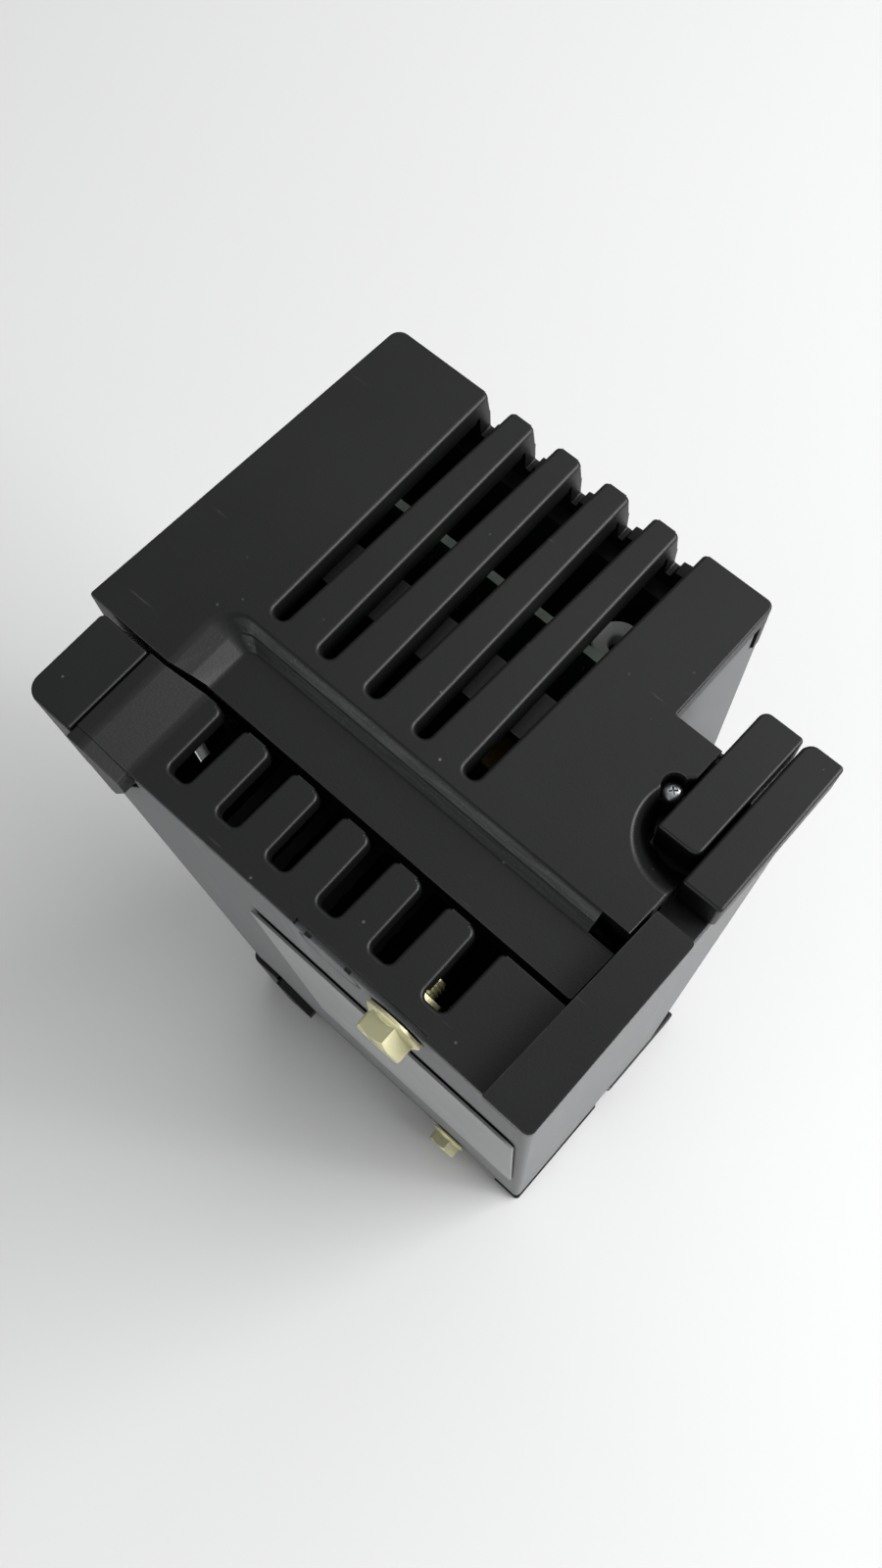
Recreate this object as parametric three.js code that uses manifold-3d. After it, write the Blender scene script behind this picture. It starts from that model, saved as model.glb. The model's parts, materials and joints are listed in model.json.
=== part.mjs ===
// Panel-mounted solid state relay with its heat sink inside a tall, narrow housing.
// Millimetres, +Z up. The front faces -Y, the rear wall faces +Y, and the origin is under the
// middle of the whole object, on the surface that it stands on.
import * as THREE from "three";
import { mergeVertices } from "three/addons/utils/BufferGeometryUtils.js";
import Module from "manifold-3d";

const wasm = await Module();
wasm.setup();

// Driving dimensions.
const HEIGHT = 225;
const TOP = HEIGHT;
const WIDTH = 104.5; // across the covers, which lean out to the right towards the rear
const REAR_WIDTH = 100; // across the rear wall
const DEPTH = 84; // from the rear wall to the front
const SCREW_REACH = 4; // how far the earth screws stand out behind the rear wall
const GAP = 0.35; // clearance between neighbouring pieces
const SHEET = 1.5; // chassis sheet
const SHELL = 2.4; // housing wall
const COVER = 4; // cover plate, which is also the height of its vent bars
const SKIRT = 12; // how far a cover's skirt reaches down over the housing
const CORNER_HEIGHT = 28; // the corner block, and the fin guard's cheek beside it

// Terminal bay, an open step down the whole front left corner.
const BAY_SIDE = 23.5;
const BAY_BACK = 60.3;

// Recessed channel that crosses the cover and the fin guard.
const CHANNEL_DEPTH = 3.5;
const CHANNEL_FLOOR_FRONT = 27;
const CHANNEL_RIM_FRONT = 30;
const CHANNEL_FLOOR_RIGHT = 80;
const CHANNEL_RIM_RIGHT = 87;

// Vents in the covers and in the fin guards.
const VENT_STARTS = [36.95, 46.75, 56.55, 66.35, 76.15];
const VENT_WIDTH = 4.75; // at the front
const VENT_TAPER = 1.95; // how much narrower a vent is at its closed end
const VENT_BACK = 33;
const VENT_SILL = 6; // how far each vent turns down over the front
const VENT_DEEP = 8.8; // and how far the narrow slit beside the sill does
const VENT_SLIT = 1.2;
const COMB_FIRST = 19.95;
const COMB_PITCH = 10.35;
const COMB_SLOTS = 6;
const COMB_SLOT_WIDTH = 4.5;
const COMB_SLOT_BACK = 4.9;
const COMB_DEPTH = 3; // how far the comb and the channel floor reach below the channel's surface
const SEAM_REAR = 17.3; // fin guard's front edge
const SEAM_FRONT = 18.4; // cover's rear edge in the channel
const CHEEK_END = 90; // the fin guard's right end, beside the corner block
const CHEEK_FRONT = 16; // both end here at the front, and the cover starts a little further on
const COVER_REAR = 16.7;
const PLATE_WALL = 2.5; // skirt thickness
const STRIP_WIDTH = 8.5;
const STRIP_LENGTH = 35.5;

// Pocket in the cover, with the guard fingers that start in it and overhang the bay.
const POCKET_LEVEL = 9; // depth of the pocket's floor
const POCKET_PLATE = 2.5; // and the thickness under it
const POCKET_FLOOR = { left: 10.6, rear: 50.2, radius: 6.6 };
const POCKET_RIM = { left: 9.5, rear: 47.5, radius: 8.8 };
const POCKET_SCREW = { left: 16.7, rear: 51.5, radius: 1.7, head: 1.8, seat: 4.2 };
const FINGER_HEIGHT = 8.6;
const OUTER_FINGER = [[0, 41, 0.8], [7.1, 41, 0.6], [6.5, 69.8, 1.8], [0, 69.8, 0.7]];
const INNER_FINGER = [[7.6, 45.2, 1.4], [14.9, 45.2, 0.5], [14.3, 69.5, 1.4], [7, 69.5, 0.7]];

// Earth screw at the top of the rear wall, with its twin at the foot.
const EARTH = { left: 25.5, level: HEIGHT - 10, flange: 5.2, acrossCorners: 9.2, shank: 2.3 };

// Inside.
const SINK_REAR = 3;
const SINK_BASE = [20, 27];
const SINK_SPAN = [11, 88];
const SINK_LEVELS = [14, 204];
const PCB = { rear: 62.8, thick: 1.6, left: 28, right: 96, low: 18, high: 215 };
const MODULE = { left: 22, right: 78, rear: 28.7, front: 45 };
const MODULE_LEVELS = [[30, 102], [112, 184]];

// Power terminals and their door.
const BLOCK = { left: 5.2, right: 20.6, rear: 60.9, front: 78, low: 62, high: 158 };
const CLAMP_LEVELS = [86, 134];
const CLAMP_LEFT = (BLOCK.left + BLOCK.right) / 2;
const DOOR = { left: 3, front: 83, thick: 3, low: 62.5, high: 160 };
const HINGE = { left: 21, rear: 81.4, radius: 2, pin: 1.1 };

// Control connector, indicators and trimmer on the front.
const HEADER = { left: 52, right: 80, low: 150, high: 163 };
const TRIMMER = { left: 66, level: 120, radius: 3.6 };
const LIGHT_LEVELS = [182, 190];

// Distances from the left side and from the rear wall, as places on X and Y.
const x = (fromLeft) => fromLeft - WIDTH / 2;
const y = (fromRear) => (DEPTH - SCREW_REACH) / 2 - fromRear;

const material = (color, roughness, metalness = 0) =>
  new THREE.MeshStandardMaterial({ color, roughness, metalness });
const BLACK = material(0x232528, 0.55);
const DARK = material(0x17181a, 0.5);
const GREY_SHEET = material(0x86888a, 0.5, 0.3);
const LIGHT_GREY = material(0xa9abac, 0.6);
const LABEL = material(0xb9bbbc, 0.45);
const ZINC = material(0xb7b58a, 0.35, 0.9);
const STEEL = material(0xb4b6b8, 0.35, 1);
const ALUMINIUM = material(0xaeb1b4, 0.45, 1);
const COPPER = material(0xb9a28c, 0.35, 1);
const BRASS = material(0xb79a55, 0.35, 1);
const BOARD = material(0x1f4a35, 0.5);
const FERRITE = material(0x9b9d9c, 0.6);
const PAD = material(0xd9dbe0, 0.8);
const BLUE = material(0x2e5d9c, 0.45);
const YELLOW = material(0xc8a43a, 0.5);
const CERAMIC = material(0xd8d4c8, 0.7);
const GREEN = material(0x3b8a55, 0.5);
const CLEAR = material(0xcfe0d2, 0.25);

const part = new THREE.Group();

const add = (name, geometry, finish) => {
  const mesh = new THREE.Mesh(geometry, finish);
  mesh.name = name;
  part.add(mesh);
};

// A closed geometry as a solid that can be cut and joined, and back again.
const solid = (geometry) => {
  const bare = geometry.clone();
  bare.deleteAttribute("normal");
  bare.deleteAttribute("uv");
  const merged = mergeVertices(bare, 1e-3);
  return new wasm.Manifold(
    new wasm.Mesh({
      numProp: 3,
      vertProperties: new Float32Array(merged.attributes.position.array),
      triVerts: new Uint32Array(merged.index.array),
    }),
  );
};

const surface = (body) => {
  const mesh = body.getMesh();
  const geometry = new THREE.BufferGeometry();
  geometry.setAttribute("position", new THREE.BufferAttribute(mesh.vertProperties, 3));
  geometry.setIndex(new THREE.BufferAttribute(mesh.triVerts, 1));
  geometry.computeVertexNormals();
  return geometry;
};

const cut = (base, ...tools) => tools.reduce((body, tool) => body.subtract(tool), base);
const join = (base, ...others) => others.reduce((body, other) => body.add(other), base);

// The same moulding at the lower end, turned over about the middle of the height.
const turnedOver = (geometry) => {
  const low = geometry.clone();
  low.scale(1, 1, -1);
  low.translate(0, 0, HEIGHT);
  const index = low.index.array;
  for (let i = 0; i < index.length; i += 3) {
    [index[i], index[i + 1]] = [index[i + 1], index[i]];
  }
  low.computeVertexNormals();
  return low;
};

// An outline in two coordinates. A corner's third number is its radius.
const outline = (corners) => {
  const shape = new THREE.Shape();
  const count = corners.length;
  corners.forEach(([cornerX, cornerY, radius = 0], i) => {
    const here = new THREE.Vector2(cornerX, cornerY);
    const before = new THREE.Vector2(...corners[(i + count - 1) % count].slice(0, 2));
    const after = new THREE.Vector2(...corners[(i + 1) % count].slice(0, 2));
    const back = before.sub(here).normalize();
    const on = after.sub(here).normalize();
    const reach = radius / Math.tan(Math.acos(back.dot(on)) / 2);
    const start = here.clone().addScaledVector(back, reach);
    const end = here.clone().addScaledVector(on, reach);
    if (i === 0) shape.moveTo(start.x, start.y);
    else shape.lineTo(start.x, start.y);
    if (radius > 0) shape.quadraticCurveTo(here.x, here.y, end.x, end.y);
  });
  shape.closePath();
  return shape;
};

const extrude = (shape, depth) =>
  new THREE.ExtrudeGeometry(shape, { depth, bevelEnabled: false, curveSegments: 4 });

// A plan outline, in distances from the left and from the rear, raised between two levels.
const upright = (corners, low, high) => {
  const shape = outline(corners.map(([left, rear, radius]) => [x(left), y(rear), radius]));
  return extrude(shape, high - low).translate(0, 0, low);
};

// A profile in distance from the left and level, run from one depth to another.
const across = (corners, rear, front) => {
  const shape = outline(corners.map(([left, level, radius]) => [x(left), level, radius]));
  const geometry = extrude(shape, front - rear);
  return geometry.rotateX(Math.PI / 2).translate(0, y(rear), 0);
};

// A profile in distance from the rear and level, run from one distance from the left to another.
const along = (corners, left, right) => {
  const shape = outline(corners.map(([rear, level, radius]) => [y(rear), level, radius]));
  const geometry = extrude(shape, right - left);
  return geometry.rotateX(Math.PI / 2).rotateZ(Math.PI / 2).translate(x(left), 0, 0);
};

const block = (left, right, rear, front, low, high) =>
  new THREE.BoxGeometry(right - left, front - rear, high - low).translate(
    x((left + right) / 2),
    y((rear + front) / 2),
    (low + high) / 2,
  );

// A round bar along Z, and one along Y that runs from one depth to another.
const post = (left, rear, radius, low, high, sides = 20) =>
  new THREE.CylinderGeometry(radius, radius, high - low, sides)
    .rotateX(Math.PI / 2)
    .translate(x(left), y(rear), (low + high) / 2);

const bar = (left, level, radius, rear, front, sides = 20) =>
  new THREE.CylinderGeometry(radius, radius, front - rear, sides).translate(
    x(left),
    y((rear + front) / 2),
    level,
  );

// One vent: a slot through the plate that widens towards the front, and its turn down over it.
const ventTools = (start) => {
  const end = start + VENT_WIDTH;
  const slot = [
    [start + VENT_TAPER, VENT_BACK, 1.2],
    [end, VENT_BACK, 1.2],
    [end, DEPTH + 1],
    [start, DEPTH + 1],
  ];
  const drop = [
    [start, TOP + 1],
    [end, TOP + 1],
    [end, TOP - VENT_DEEP],
    [end - VENT_SLIT, TOP - VENT_DEEP],
    [end - VENT_SLIT - 0.5, TOP - VENT_SILL - 0.8, 0.4],
    [start, TOP - VENT_SILL],
  ];
  return [upright(slot, TOP - COVER, TOP + 1), across(drop, DEPTH - 4, DEPTH + 1)];
};

// The screw pocket is a leaning round scoop, steep on the right and easier towards the rear.
const pocketTool = () => {
  const rise = POCKET_LEVEL + 1;
  const lean = new THREE.Matrix4().makeShear(
    0, 0, 0, 0, (POCKET_RIM.left - POCKET_FLOOR.left) / rise, (POCKET_FLOOR.rear - POCKET_RIM.rear) / rise,
  );
  return new THREE.CylinderGeometry(POCKET_RIM.radius, POCKET_FLOOR.radius, rise, 24)
    .rotateX(Math.PI / 2)
    .translate(0, 0, rise / 2)
    .applyMatrix4(lean)
    .translate(x(POCKET_FLOOR.left), y(POCKET_FLOOR.rear), TOP - POCKET_LEVEL);
};

// Cover plate with its skirts, vent bars, recessed channel and screw pocket.
function coverGeometry() {
  const strip = STRIP_WIDTH - 0.3;
  const plan = [
    [BAY_SIDE, DEPTH, 1.2],
    [101, DEPTH, 2],
    [WIDTH, COVER_REAR, 0.4],
    [CHANNEL_RIM_RIGHT, COVER_REAR],
    [CHANNEL_FLOOR_RIGHT + 1, SEAM_FRONT],
    [strip, SEAM_FRONT],
    [strip - 0.8, STRIP_LENGTH + 0.7],
    [strip - 0.8, BAY_BACK],
    [BAY_SIDE, BAY_BACK],
  ];
  const hollow = upright(
    [
      [0, SEAM_FRONT - 5],
      [89, SEAM_FRONT - 5],
      [89, COVER_REAR + PLATE_WALL],
      [WIDTH - PLATE_WALL - 0.1, COVER_REAR + PLATE_WALL],
      [101 - PLATE_WALL - 0.1, DEPTH - PLATE_WALL],
      [BAY_SIDE - 1, DEPTH - PLATE_WALL],
      [BAY_SIDE - 1, BAY_BACK + 1],
      [0, BAY_BACK + 1],
    ],
    TOP - SKIRT - 1,
    TOP - COVER,
  );
  const floorLow = TOP - CHANNEL_DEPTH - COMB_DEPTH;
  const channelFloor = block(strip + 0.2, 88, SEAM_FRONT + 0.2, 33, floorLow, TOP - 2);
  const crossRib = block(33, 84, 43.6, 51.8, TOP - COVER - 4, TOP - COVER + 0.5);
  const pocketLow = TOP - POCKET_LEVEL - POCKET_PLATE;
  const pocketFront = BAY_BACK - 0.5;
  const pocketBlock = block(strip - 0.8, 21, 38, pocketFront, pocketLow, TOP - 1);
  const pocketFloor = block(0.8, 10, STRIP_LENGTH + 0.7, pocketFront, pocketLow, TOP - POCKET_LEVEL);
  const channelSlope = (CHANNEL_RIM_FRONT - CHANNEL_FLOOR_FRONT) / CHANNEL_DEPTH;
  const sideSlope = (CHANNEL_RIM_RIGHT - CHANNEL_FLOOR_RIGHT) / CHANNEL_DEPTH;
  const channel = solid(
    along(
      [
        [0, TOP - CHANNEL_DEPTH],
        [CHANNEL_FLOOR_FRONT, TOP - CHANNEL_DEPTH],
        [CHANNEL_RIM_FRONT + channelSlope, TOP + 1],
        [0, TOP + 1],
      ],
      0,
      WIDTH,
    ),
  ).intersect(
    solid(
      across(
        [
          [0, TOP - CHANNEL_DEPTH],
          [CHANNEL_FLOOR_RIGHT, TOP - CHANNEL_DEPTH],
          [CHANNEL_RIM_RIGHT + sideSlope, TOP + 1],
          [0, TOP + 1],
        ],
        0,
        DEPTH,
      ),
    ),
  );
  const drainHole = block(strip - 1, 12.6, 27.4, 30.4, floorLow - 1, TOP + 1);
  const { left: screwLeft, rear: screwRear, radius: screwRadius, seat } = POCKET_SCREW;
  const screwRecess = post(screwLeft, screwRear, screwRadius + 0.4, TOP - seat, TOP + 1, 12);
  const boss = post(screwLeft, screwRear, screwRadius, pocketLow, TOP - seat, 12);
  const screwHole = post(screwLeft, screwRear, 1.3, pocketLow - 1, TOP, 10);
  const fingerBed = upright(
    [
      [0, 44.8],
      [15.25, 44.8],
      [14.95, BAY_BACK + 1],
      [0, BAY_BACK + 1],
    ],
    TOP - POCKET_LEVEL,
    TOP + 1,
  );
  const vents = VENT_STARTS.flatMap(ventTools);
  const shell = cut(solid(upright(plan, TOP - SKIRT, TOP)), solid(hollow));
  const full = join(shell, ...[channelFloor, crossRib, pocketBlock, pocketFloor].map(solid));
  const tools = [drainHole, pocketTool(), screwRecess, fingerBed, ...vents].map(solid);
  const open = cut(full, channel, ...tools);
  return surface(cut(join(open, solid(boss)), solid(screwHole)));
}

// Comb over the heat sink's fins, with the flat strip along the left side in one piece with it.
function finGuardGeometry() {
  const low = TOP - CHANNEL_DEPTH - COMB_DEPTH;
  const comb = across(
    [
      [3, low],
      [CHEEK_END, low],
      [CHEEK_END, TOP],
      [CHANNEL_RIM_RIGHT, TOP],
      [CHANNEL_FLOOR_RIGHT, TOP - CHANNEL_DEPTH],
      [3, TOP - CHANNEL_DEPTH],
    ],
    0.5,
    SEAM_REAR,
  );
  const strip = upright(
    [
      [0, 0, 1.2],
      [STRIP_WIDTH, 0],
      [STRIP_WIDTH - 1.5, STRIP_LENGTH],
      [0, STRIP_LENGTH, 0.8],
    ],
    TOP - 5,
    TOP,
  );
  const cheek = across(
    [
      [CHANNEL_FLOOR_RIGHT, TOP - CHANNEL_DEPTH - 0.4],
      [CHANNEL_RIM_RIGHT, TOP],
      [CHEEK_END, TOP],
      [CHEEK_END, TOP - CORNER_HEIGHT],
      [CHANNEL_FLOOR_RIGHT, TOP - 8],
    ],
    -1.8,
    2.3,
  );
  const sideRelief = block(-1, SHEET + 0.7, -1, STRIP_LENGTH + 1, low - 1, TOP - 2.5);
  const rearRelief = block(-1, CHANNEL_FLOOR_RIGHT - 0.2, -1, SHEET + 0.7, low - 1, TOP - 5);
  const setBack = block(19.8, 45.4, -1, 1.4, low, TOP);
  const cheekRelief = upright(
    [
      [CHANNEL_FLOOR_RIGHT, SEAM_REAR],
      [CHANNEL_RIM_RIGHT, CHEEK_FRONT],
      [CHEEK_END + 1, CHEEK_FRONT],
      [CHEEK_END + 1, SEAM_REAR + 1],
      [CHANNEL_FLOOR_RIGHT, SEAM_REAR + 1],
    ],
    low - 1,
    TOP + 1,
  );
  const nutRelief = block(EARTH.left - 5.5, EARTH.left + 5.5, SHEET, 6.5, low - 1, TOP - 5);
  const slots = Array.from({ length: COMB_SLOTS }, (_, i) => {
    const start = COMB_FIRST + i * COMB_PITCH;
    return upright(
      [
        [start + 0.35, COMB_SLOT_BACK, 1.1],
        [start + COMB_SLOT_WIDTH, COMB_SLOT_BACK, 1.1],
        [start + COMB_SLOT_WIDTH, SEAM_REAR + 1],
        [start, SEAM_REAR + 1],
      ],
      low - 1,
      TOP,
    );
  });
  const whole = join(solid(comb), solid(strip), solid(cheek));
  const tools = [sideRelief, rearRelief, setBack, nutRelief, cheekRelief, ...slots];
  return surface(cut(whole, ...tools.map(solid)));
}

function cornerBlockGeometry() {
  return surface(
    solid(
      upright(
        [
          [CHEEK_END + GAP, -1, 0.6],
          [100.5, -1, 3],
          [100.5, CHEEK_FRONT - 0.1, 1],
          [CHEEK_END + GAP, CHEEK_FRONT - 0.1, 0.6],
        ],
        TOP - CORNER_HEIGHT,
        TOP,
      ),
    ),
  );
}

const fingerGeometry = (corners) => surface(solid(upright(corners, TOP - FINGER_HEIGHT, TOP)));

function pocketScrewGeometry() {
  const { left, rear, radius, head: headHeight, seat } = POCKET_SCREW;
  const headLow = TOP - seat + GAP;
  const head = post(left, rear, radius, headLow, headLow + headHeight, 16);
  const shank = post(left, rear, 0.95, headLow - 9, headLow + 0.5, 10);
  const slot = block(left - 0.3, left + 0.3, rear - 3, rear + 3, headLow + 1, headLow + 3);
  return surface(cut(join(solid(head), solid(shank)), solid(slot)));
}

// Hexagon head on a wide flange, with a slot across the head, clamped on the rear wall.
function earthScrewGeometry() {
  const { left, level, flange, acrossCorners, shank } = EARTH;
  const head = bar(left, level, acrossCorners / 2, -SCREW_REACH, -0.8, 6);
  const disc = bar(left, level, flange, -1.2, 0.1, 24);
  const thread = bar(left, level, shank, -1, 8, 12);
  const slotFront = 1 - SCREW_REACH;
  const slot = block(left - 3, left + 3, slotFront - 2, slotFront, level - 0.7, level + 0.7);
  return surface(cut(join(solid(head), solid(disc), solid(thread)), solid(slot)));
}

function earthNutGeometry() {
  const { left, level, shank } = EARTH;
  const nut = bar(left, level, 4.4, SHEET + 0.4 + GAP, 6, 6);
  return surface(cut(solid(nut), solid(bar(left, level, shank + GAP, 0, 9, 12))));
}

// Folded sheet: rear wall, left wall and a short return round the right rear corner.
function rearChassisGeometry() {
  const inset = 0.4;
  const edge = 5.3;
  const rightEnd = REAR_WIDTH - inset;
  const shoulder = CORNER_HEIGHT + 0.6;
  const upper = (depth) => TOP - depth;
  const rear = across(
    [
      [inset, edge],
      [CHANNEL_FLOOR_RIGHT - 0.6, edge],
      [CHANNEL_FLOOR_RIGHT - 0.6, 9],
      [rightEnd - 9.6, shoulder],
      [rightEnd, shoulder],
      [rightEnd, upper(shoulder)],
      [rightEnd - 9.6, upper(shoulder)],
      [CHANNEL_FLOOR_RIGHT - 0.6, upper(9)],
      [CHANNEL_FLOOR_RIGHT - 0.6, upper(edge)],
      [inset, upper(edge)],
    ],
    inset,
    inset + SHEET,
  );
  const step = POCKET_LEVEL + 2.8;
  const left = along(
    [
      [inset, 5.3],
      [inset + SHEET, 5.3],
      [inset + SHEET, 2.8],
      [STRIP_LENGTH, 2.8],
      [STRIP_LENGTH, step],
      [59.5, step],
      [59.5, upper(step)],
      [STRIP_LENGTH, upper(step)],
      [STRIP_LENGTH, upper(2.8)],
      [inset + SHEET, upper(2.8)],
      [inset + SHEET, upper(5.3)],
      [inset, upper(5.3)],
    ],
    inset,
    inset + SHEET,
  );
  const back = block(rightEnd - SHEET, rightEnd, inset, 16, shoulder, upper(shoulder));
  const holes = [EARTH.level, HEIGHT - EARTH.level].map((level) =>
    bar(EARTH.left, level, EARTH.shank + GAP, -1, 4, 12),
  );
  return surface(cut(join(solid(rear), solid(left), solid(back)), ...holes.map(solid)));
}

// Housing: the bay's two walls, the front, the leaning right side and its rear return.
function housingShellGeometry() {
  const inset = 0.4;
  const side = BAY_SIDE + inset;
  const back = BAY_BACK - inset;
  const front = DEPTH - 2.5 - GAP;
  const walls = upright(
    [
      [2.3, back],
      [side, back],
      [side, front],
      [97.9, front],
      [101.3, 20.3],
      [95.5, 20.3],
      [95.5, 20.3 + SHELL],
      [98.8, 20.3 + SHELL],
      [95.6, front - SHELL],
      [side + SHELL, front - SHELL],
      [side + SHELL, back - SHELL],
      [2.3, back - SHELL],
    ],
    SKIRT + GAP,
    HEIGHT - SKIRT - GAP,
  );
  const bayWalls = upright(
    [
      [2.3, back],
      [side, back],
      [side, front],
      [side + SHELL, front],
      [side + SHELL, back - SHELL],
      [2.3, back - SHELL],
    ],
    COVER + GAP,
    HEIGHT - COVER - GAP,
  );
  const skin = upright(
    [
      [side, front - 1],
      [side, DEPTH - inset],
      [100.6, DEPTH - inset],
      [104.05, 17.8],
      [95.5, 17.8],
      [95.5, 21],
      [100.6, 21],
      [97.2, front - 1],
    ],
    SKIRT + GAP,
    HEIGHT - SKIRT - GAP,
  );
  const pocketRelief = block(0, 21 + GAP, 30, BAY_BACK + 1, 0, POCKET_LEVEL + 2.8);
  const pocketReliefTop = block(
    0, 21 + GAP, 30, BAY_BACK + 1, HEIGHT - POCKET_LEVEL - 2.8, HEIGHT,
  );
  const headerHole = block(
    HEADER.left - 1.2, HEADER.right + 1.2, 70, DEPTH + 1, HEADER.low - 1.2, HEADER.high + 1.2,
  );
  const trimmerHole = bar(TRIMMER.left, TRIMMER.level, TRIMMER.radius + 0.6, 70, DEPTH + 1, 20);
  const lightHoles = LIGHT_LEVELS.map((level) => bar(TRIMMER.left, level, 1.9, 70, DEPTH + 1, 12));
  const strapHoles = CLAMP_LEVELS.map((level) =>
    block(7, 17, 50, BAY_BACK + 1, level - 6, level + 6),
  );
  const lugs = [DOOR.low - 4.4, DOOR.high + 0.4].map((low) =>
    join(
      solid(post(HINGE.left, HINGE.rear, HINGE.radius, low, low + 4, 16)),
      solid(block(HINGE.left, side + 1, HINGE.rear - 1.6, HINGE.rear + 1.6, low, low + 4)),
    ),
  );
  const pinHole = post(HINGE.left, HINGE.rear, HINGE.pin + GAP, DOOR.low - 3, DOOR.high + 9, 12);
  const whole = join(solid(walls), solid(bayWalls), solid(skin), ...lugs);
  const tools = [pocketRelief, pocketReliefTop, headerHole, trimmerHole, pinHole];
  return surface(cut(whole, ...[...tools, ...lightHoles, ...strapHoles].map(solid)));
}

// Extruded heat sink: a base plate with one fin behind each finger of the comb.
function heatSinkGeometry() {
  const finThick = 2.4;
  const firstFin = COMB_FIRST - (COMB_PITCH - COMB_SLOT_WIDTH) / 2;
  const corners = [
    [SINK_SPAN[0], SINK_BASE[1]],
    [SINK_SPAN[0], SINK_BASE[0]],
  ];
  for (let i = 0; i <= COMB_SLOTS; i += 1) {
    const middle = firstFin + i * COMB_PITCH;
    corners.push([middle - finThick / 2, SINK_BASE[0]]);
    corners.push([middle - finThick / 2, SINK_REAR]);
    corners.push([middle + finThick / 2, SINK_REAR]);
    corners.push([middle + finThick / 2, SINK_BASE[0]]);
  }
  corners.push([SINK_SPAN[1], SINK_BASE[0]], [SINK_SPAN[1], SINK_BASE[1]]);
  return surface(solid(upright(corners, ...SINK_LEVELS)));
}

// Power semiconductor module: a moulded body with a raised terminal ridge, on a metal base.
function moduleGeometry([low, high]) {
  const { left, right, rear, front } = MODULE;
  return surface(
    solid(
      along(
        [
          [rear, low, 1],
          [rear, high, 1],
          [front - 6, high, 1],
          [front - 6, high - 10],
          [front, high - 10, 1],
          [front, low + 10, 1],
          [front - 6, low + 10],
          [front - 6, low, 1],
        ],
        left,
        right,
      ),
    ),
  );
}

// Flat strap from a module's terminals to the clamp, folded forward through the bay's back wall.
function strapGeometry(level) {
  const thick = 1.5;
  const rear = MODULE.front + GAP;
  return surface(
    solid(
      upright(
        [
          [11, rear],
          [62, rear],
          [62, rear + thick],
          [11 + thick, rear + thick],
          [11 + thick, 68],
          [11, 68],
        ],
        level - 5,
        level + 5,
      ),
    ),
  );
}

// Terminal block with one wire chamber and one screw well for each clamp.
function terminalBlockGeometry() {
  const { left, right, rear, front, low, high } = BLOCK;
  const body = across(
    [
      [left, low, 1],
      [right, low, 1],
      [right, high, 1],
      [left, high, 1],
    ],
    rear,
    front,
  );
  const middle = (low + high) / 2;
  const chambers = CLAMP_LEVELS.flatMap((level) => [
    block(left + 2.6, right - 2.6, rear + 9, front + 1, level - 14, level + 7),
    block(10, 13.5, rear - 1, rear + 10, level - 5.6, level + 5.6),
  ]);
  const barrier = block(left - 1, right + 1, front - 6, front + 1, middle - 4, middle - 1);
  const barrierTwin = block(left - 1, right + 1, front - 6, front + 1, middle + 1, middle + 4);
  return surface(cut(solid(body), ...[...chambers, barrier, barrierTwin].map(solid)));
}

// Clamp screw: a cheese head with a slot, over a saddle that presses the wire down.
function clampScrewGeometry(level) {
  const middle = CLAMP_LEFT;
  const rear = BLOCK.rear + 9 + GAP;
  const head = bar(middle, level, 4.6, rear + 3.4, rear + 6.4, 16);
  const neck = bar(middle, level, 2.4, rear, rear + 4, 12);
  const slot = block(middle - 6, middle + 6, rear + 5, rear + 7, level - 0.6, level + 0.6);
  return surface(cut(join(solid(head), solid(neck)), solid(slot)));
}

function terminalDoorGeometry() {
  const { left, front, thick, low, high } = DOOR;
  const edge = HINGE.left - HINGE.radius + 0.5;
  const panel = across(
    [
      [left, low, 1.5],
      [edge, low],
      [edge, high],
      [left, high, 1.5],
    ],
    front - thick,
    front,
  );
  const knuckle = post(HINGE.left, HINGE.rear, HINGE.radius, low, high, 16);
  const bore = post(HINGE.left, HINGE.rear, HINGE.pin + GAP, low - 1, high + 1, 12);
  const flange = block(left, left + 1.4, BLOCK.rear + 1, front - 1, low + 0.5, high - 0.5);
  const grip = block(left + 1.5, left + 3, front - 0.5, front + 0.9, 96, 126);
  const openings = CLAMP_LEVELS.map((level) => bar(CLAMP_LEFT, level, 3.2, front - 5, front + 2, 16));
  const whole = join(solid(panel), solid(flange), solid(knuckle), solid(grip));
  return surface(cut(whole, ...[bore, ...openings].map(solid)));
}

function controlHeaderGeometry() {
  const { left, right, low, high } = HEADER;
  const rear = PCB.rear + PCB.thick + GAP;
  const body = block(left, right, rear, 76, low, high);
  const socket = block(left + 1.4, right - 1.4, rear + 3, 77, low + 1.4, high - 1.4);
  return surface(cut(solid(body), solid(socket)));
}

// Plug with a row of wire entries, seated in the header's socket.
function controlPlugGeometry() {
  const { left, right, low, high } = HEADER;
  const rear = PCB.rear + PCB.thick + 5;
  const tongue = block(left + 2, right - 2, rear, 78, low + 2, high - 2);
  const body = block(left + 0.6, right - 0.6, 76 + GAP, DEPTH - 0.6, low + 0.6, high - 0.6);
  const pitch = 5.08;
  const first = (left + right) / 2 - 2 * pitch;
  const entries = Array.from({ length: 5 }, (_, i) => i).flatMap((i) => [
    block(first + i * pitch - 1.6, first + i * pitch + 1.6, 78, DEPTH, low + 2, low + 5.4),
    bar(first + i * pitch, high - 3.4, 1.5, 79, DEPTH, 8),
  ]);
  return surface(cut(join(solid(tongue), solid(body)), ...entries.map(solid)));
}

function trimmerBaseGeometry() {
  const { left, level } = TRIMMER;
  const rear = PCB.rear + PCB.thick + GAP;
  return block(left - 4.5, left + 4.5, rear, rear + 5, level - 4.5, level + 4.5);
}

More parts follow.
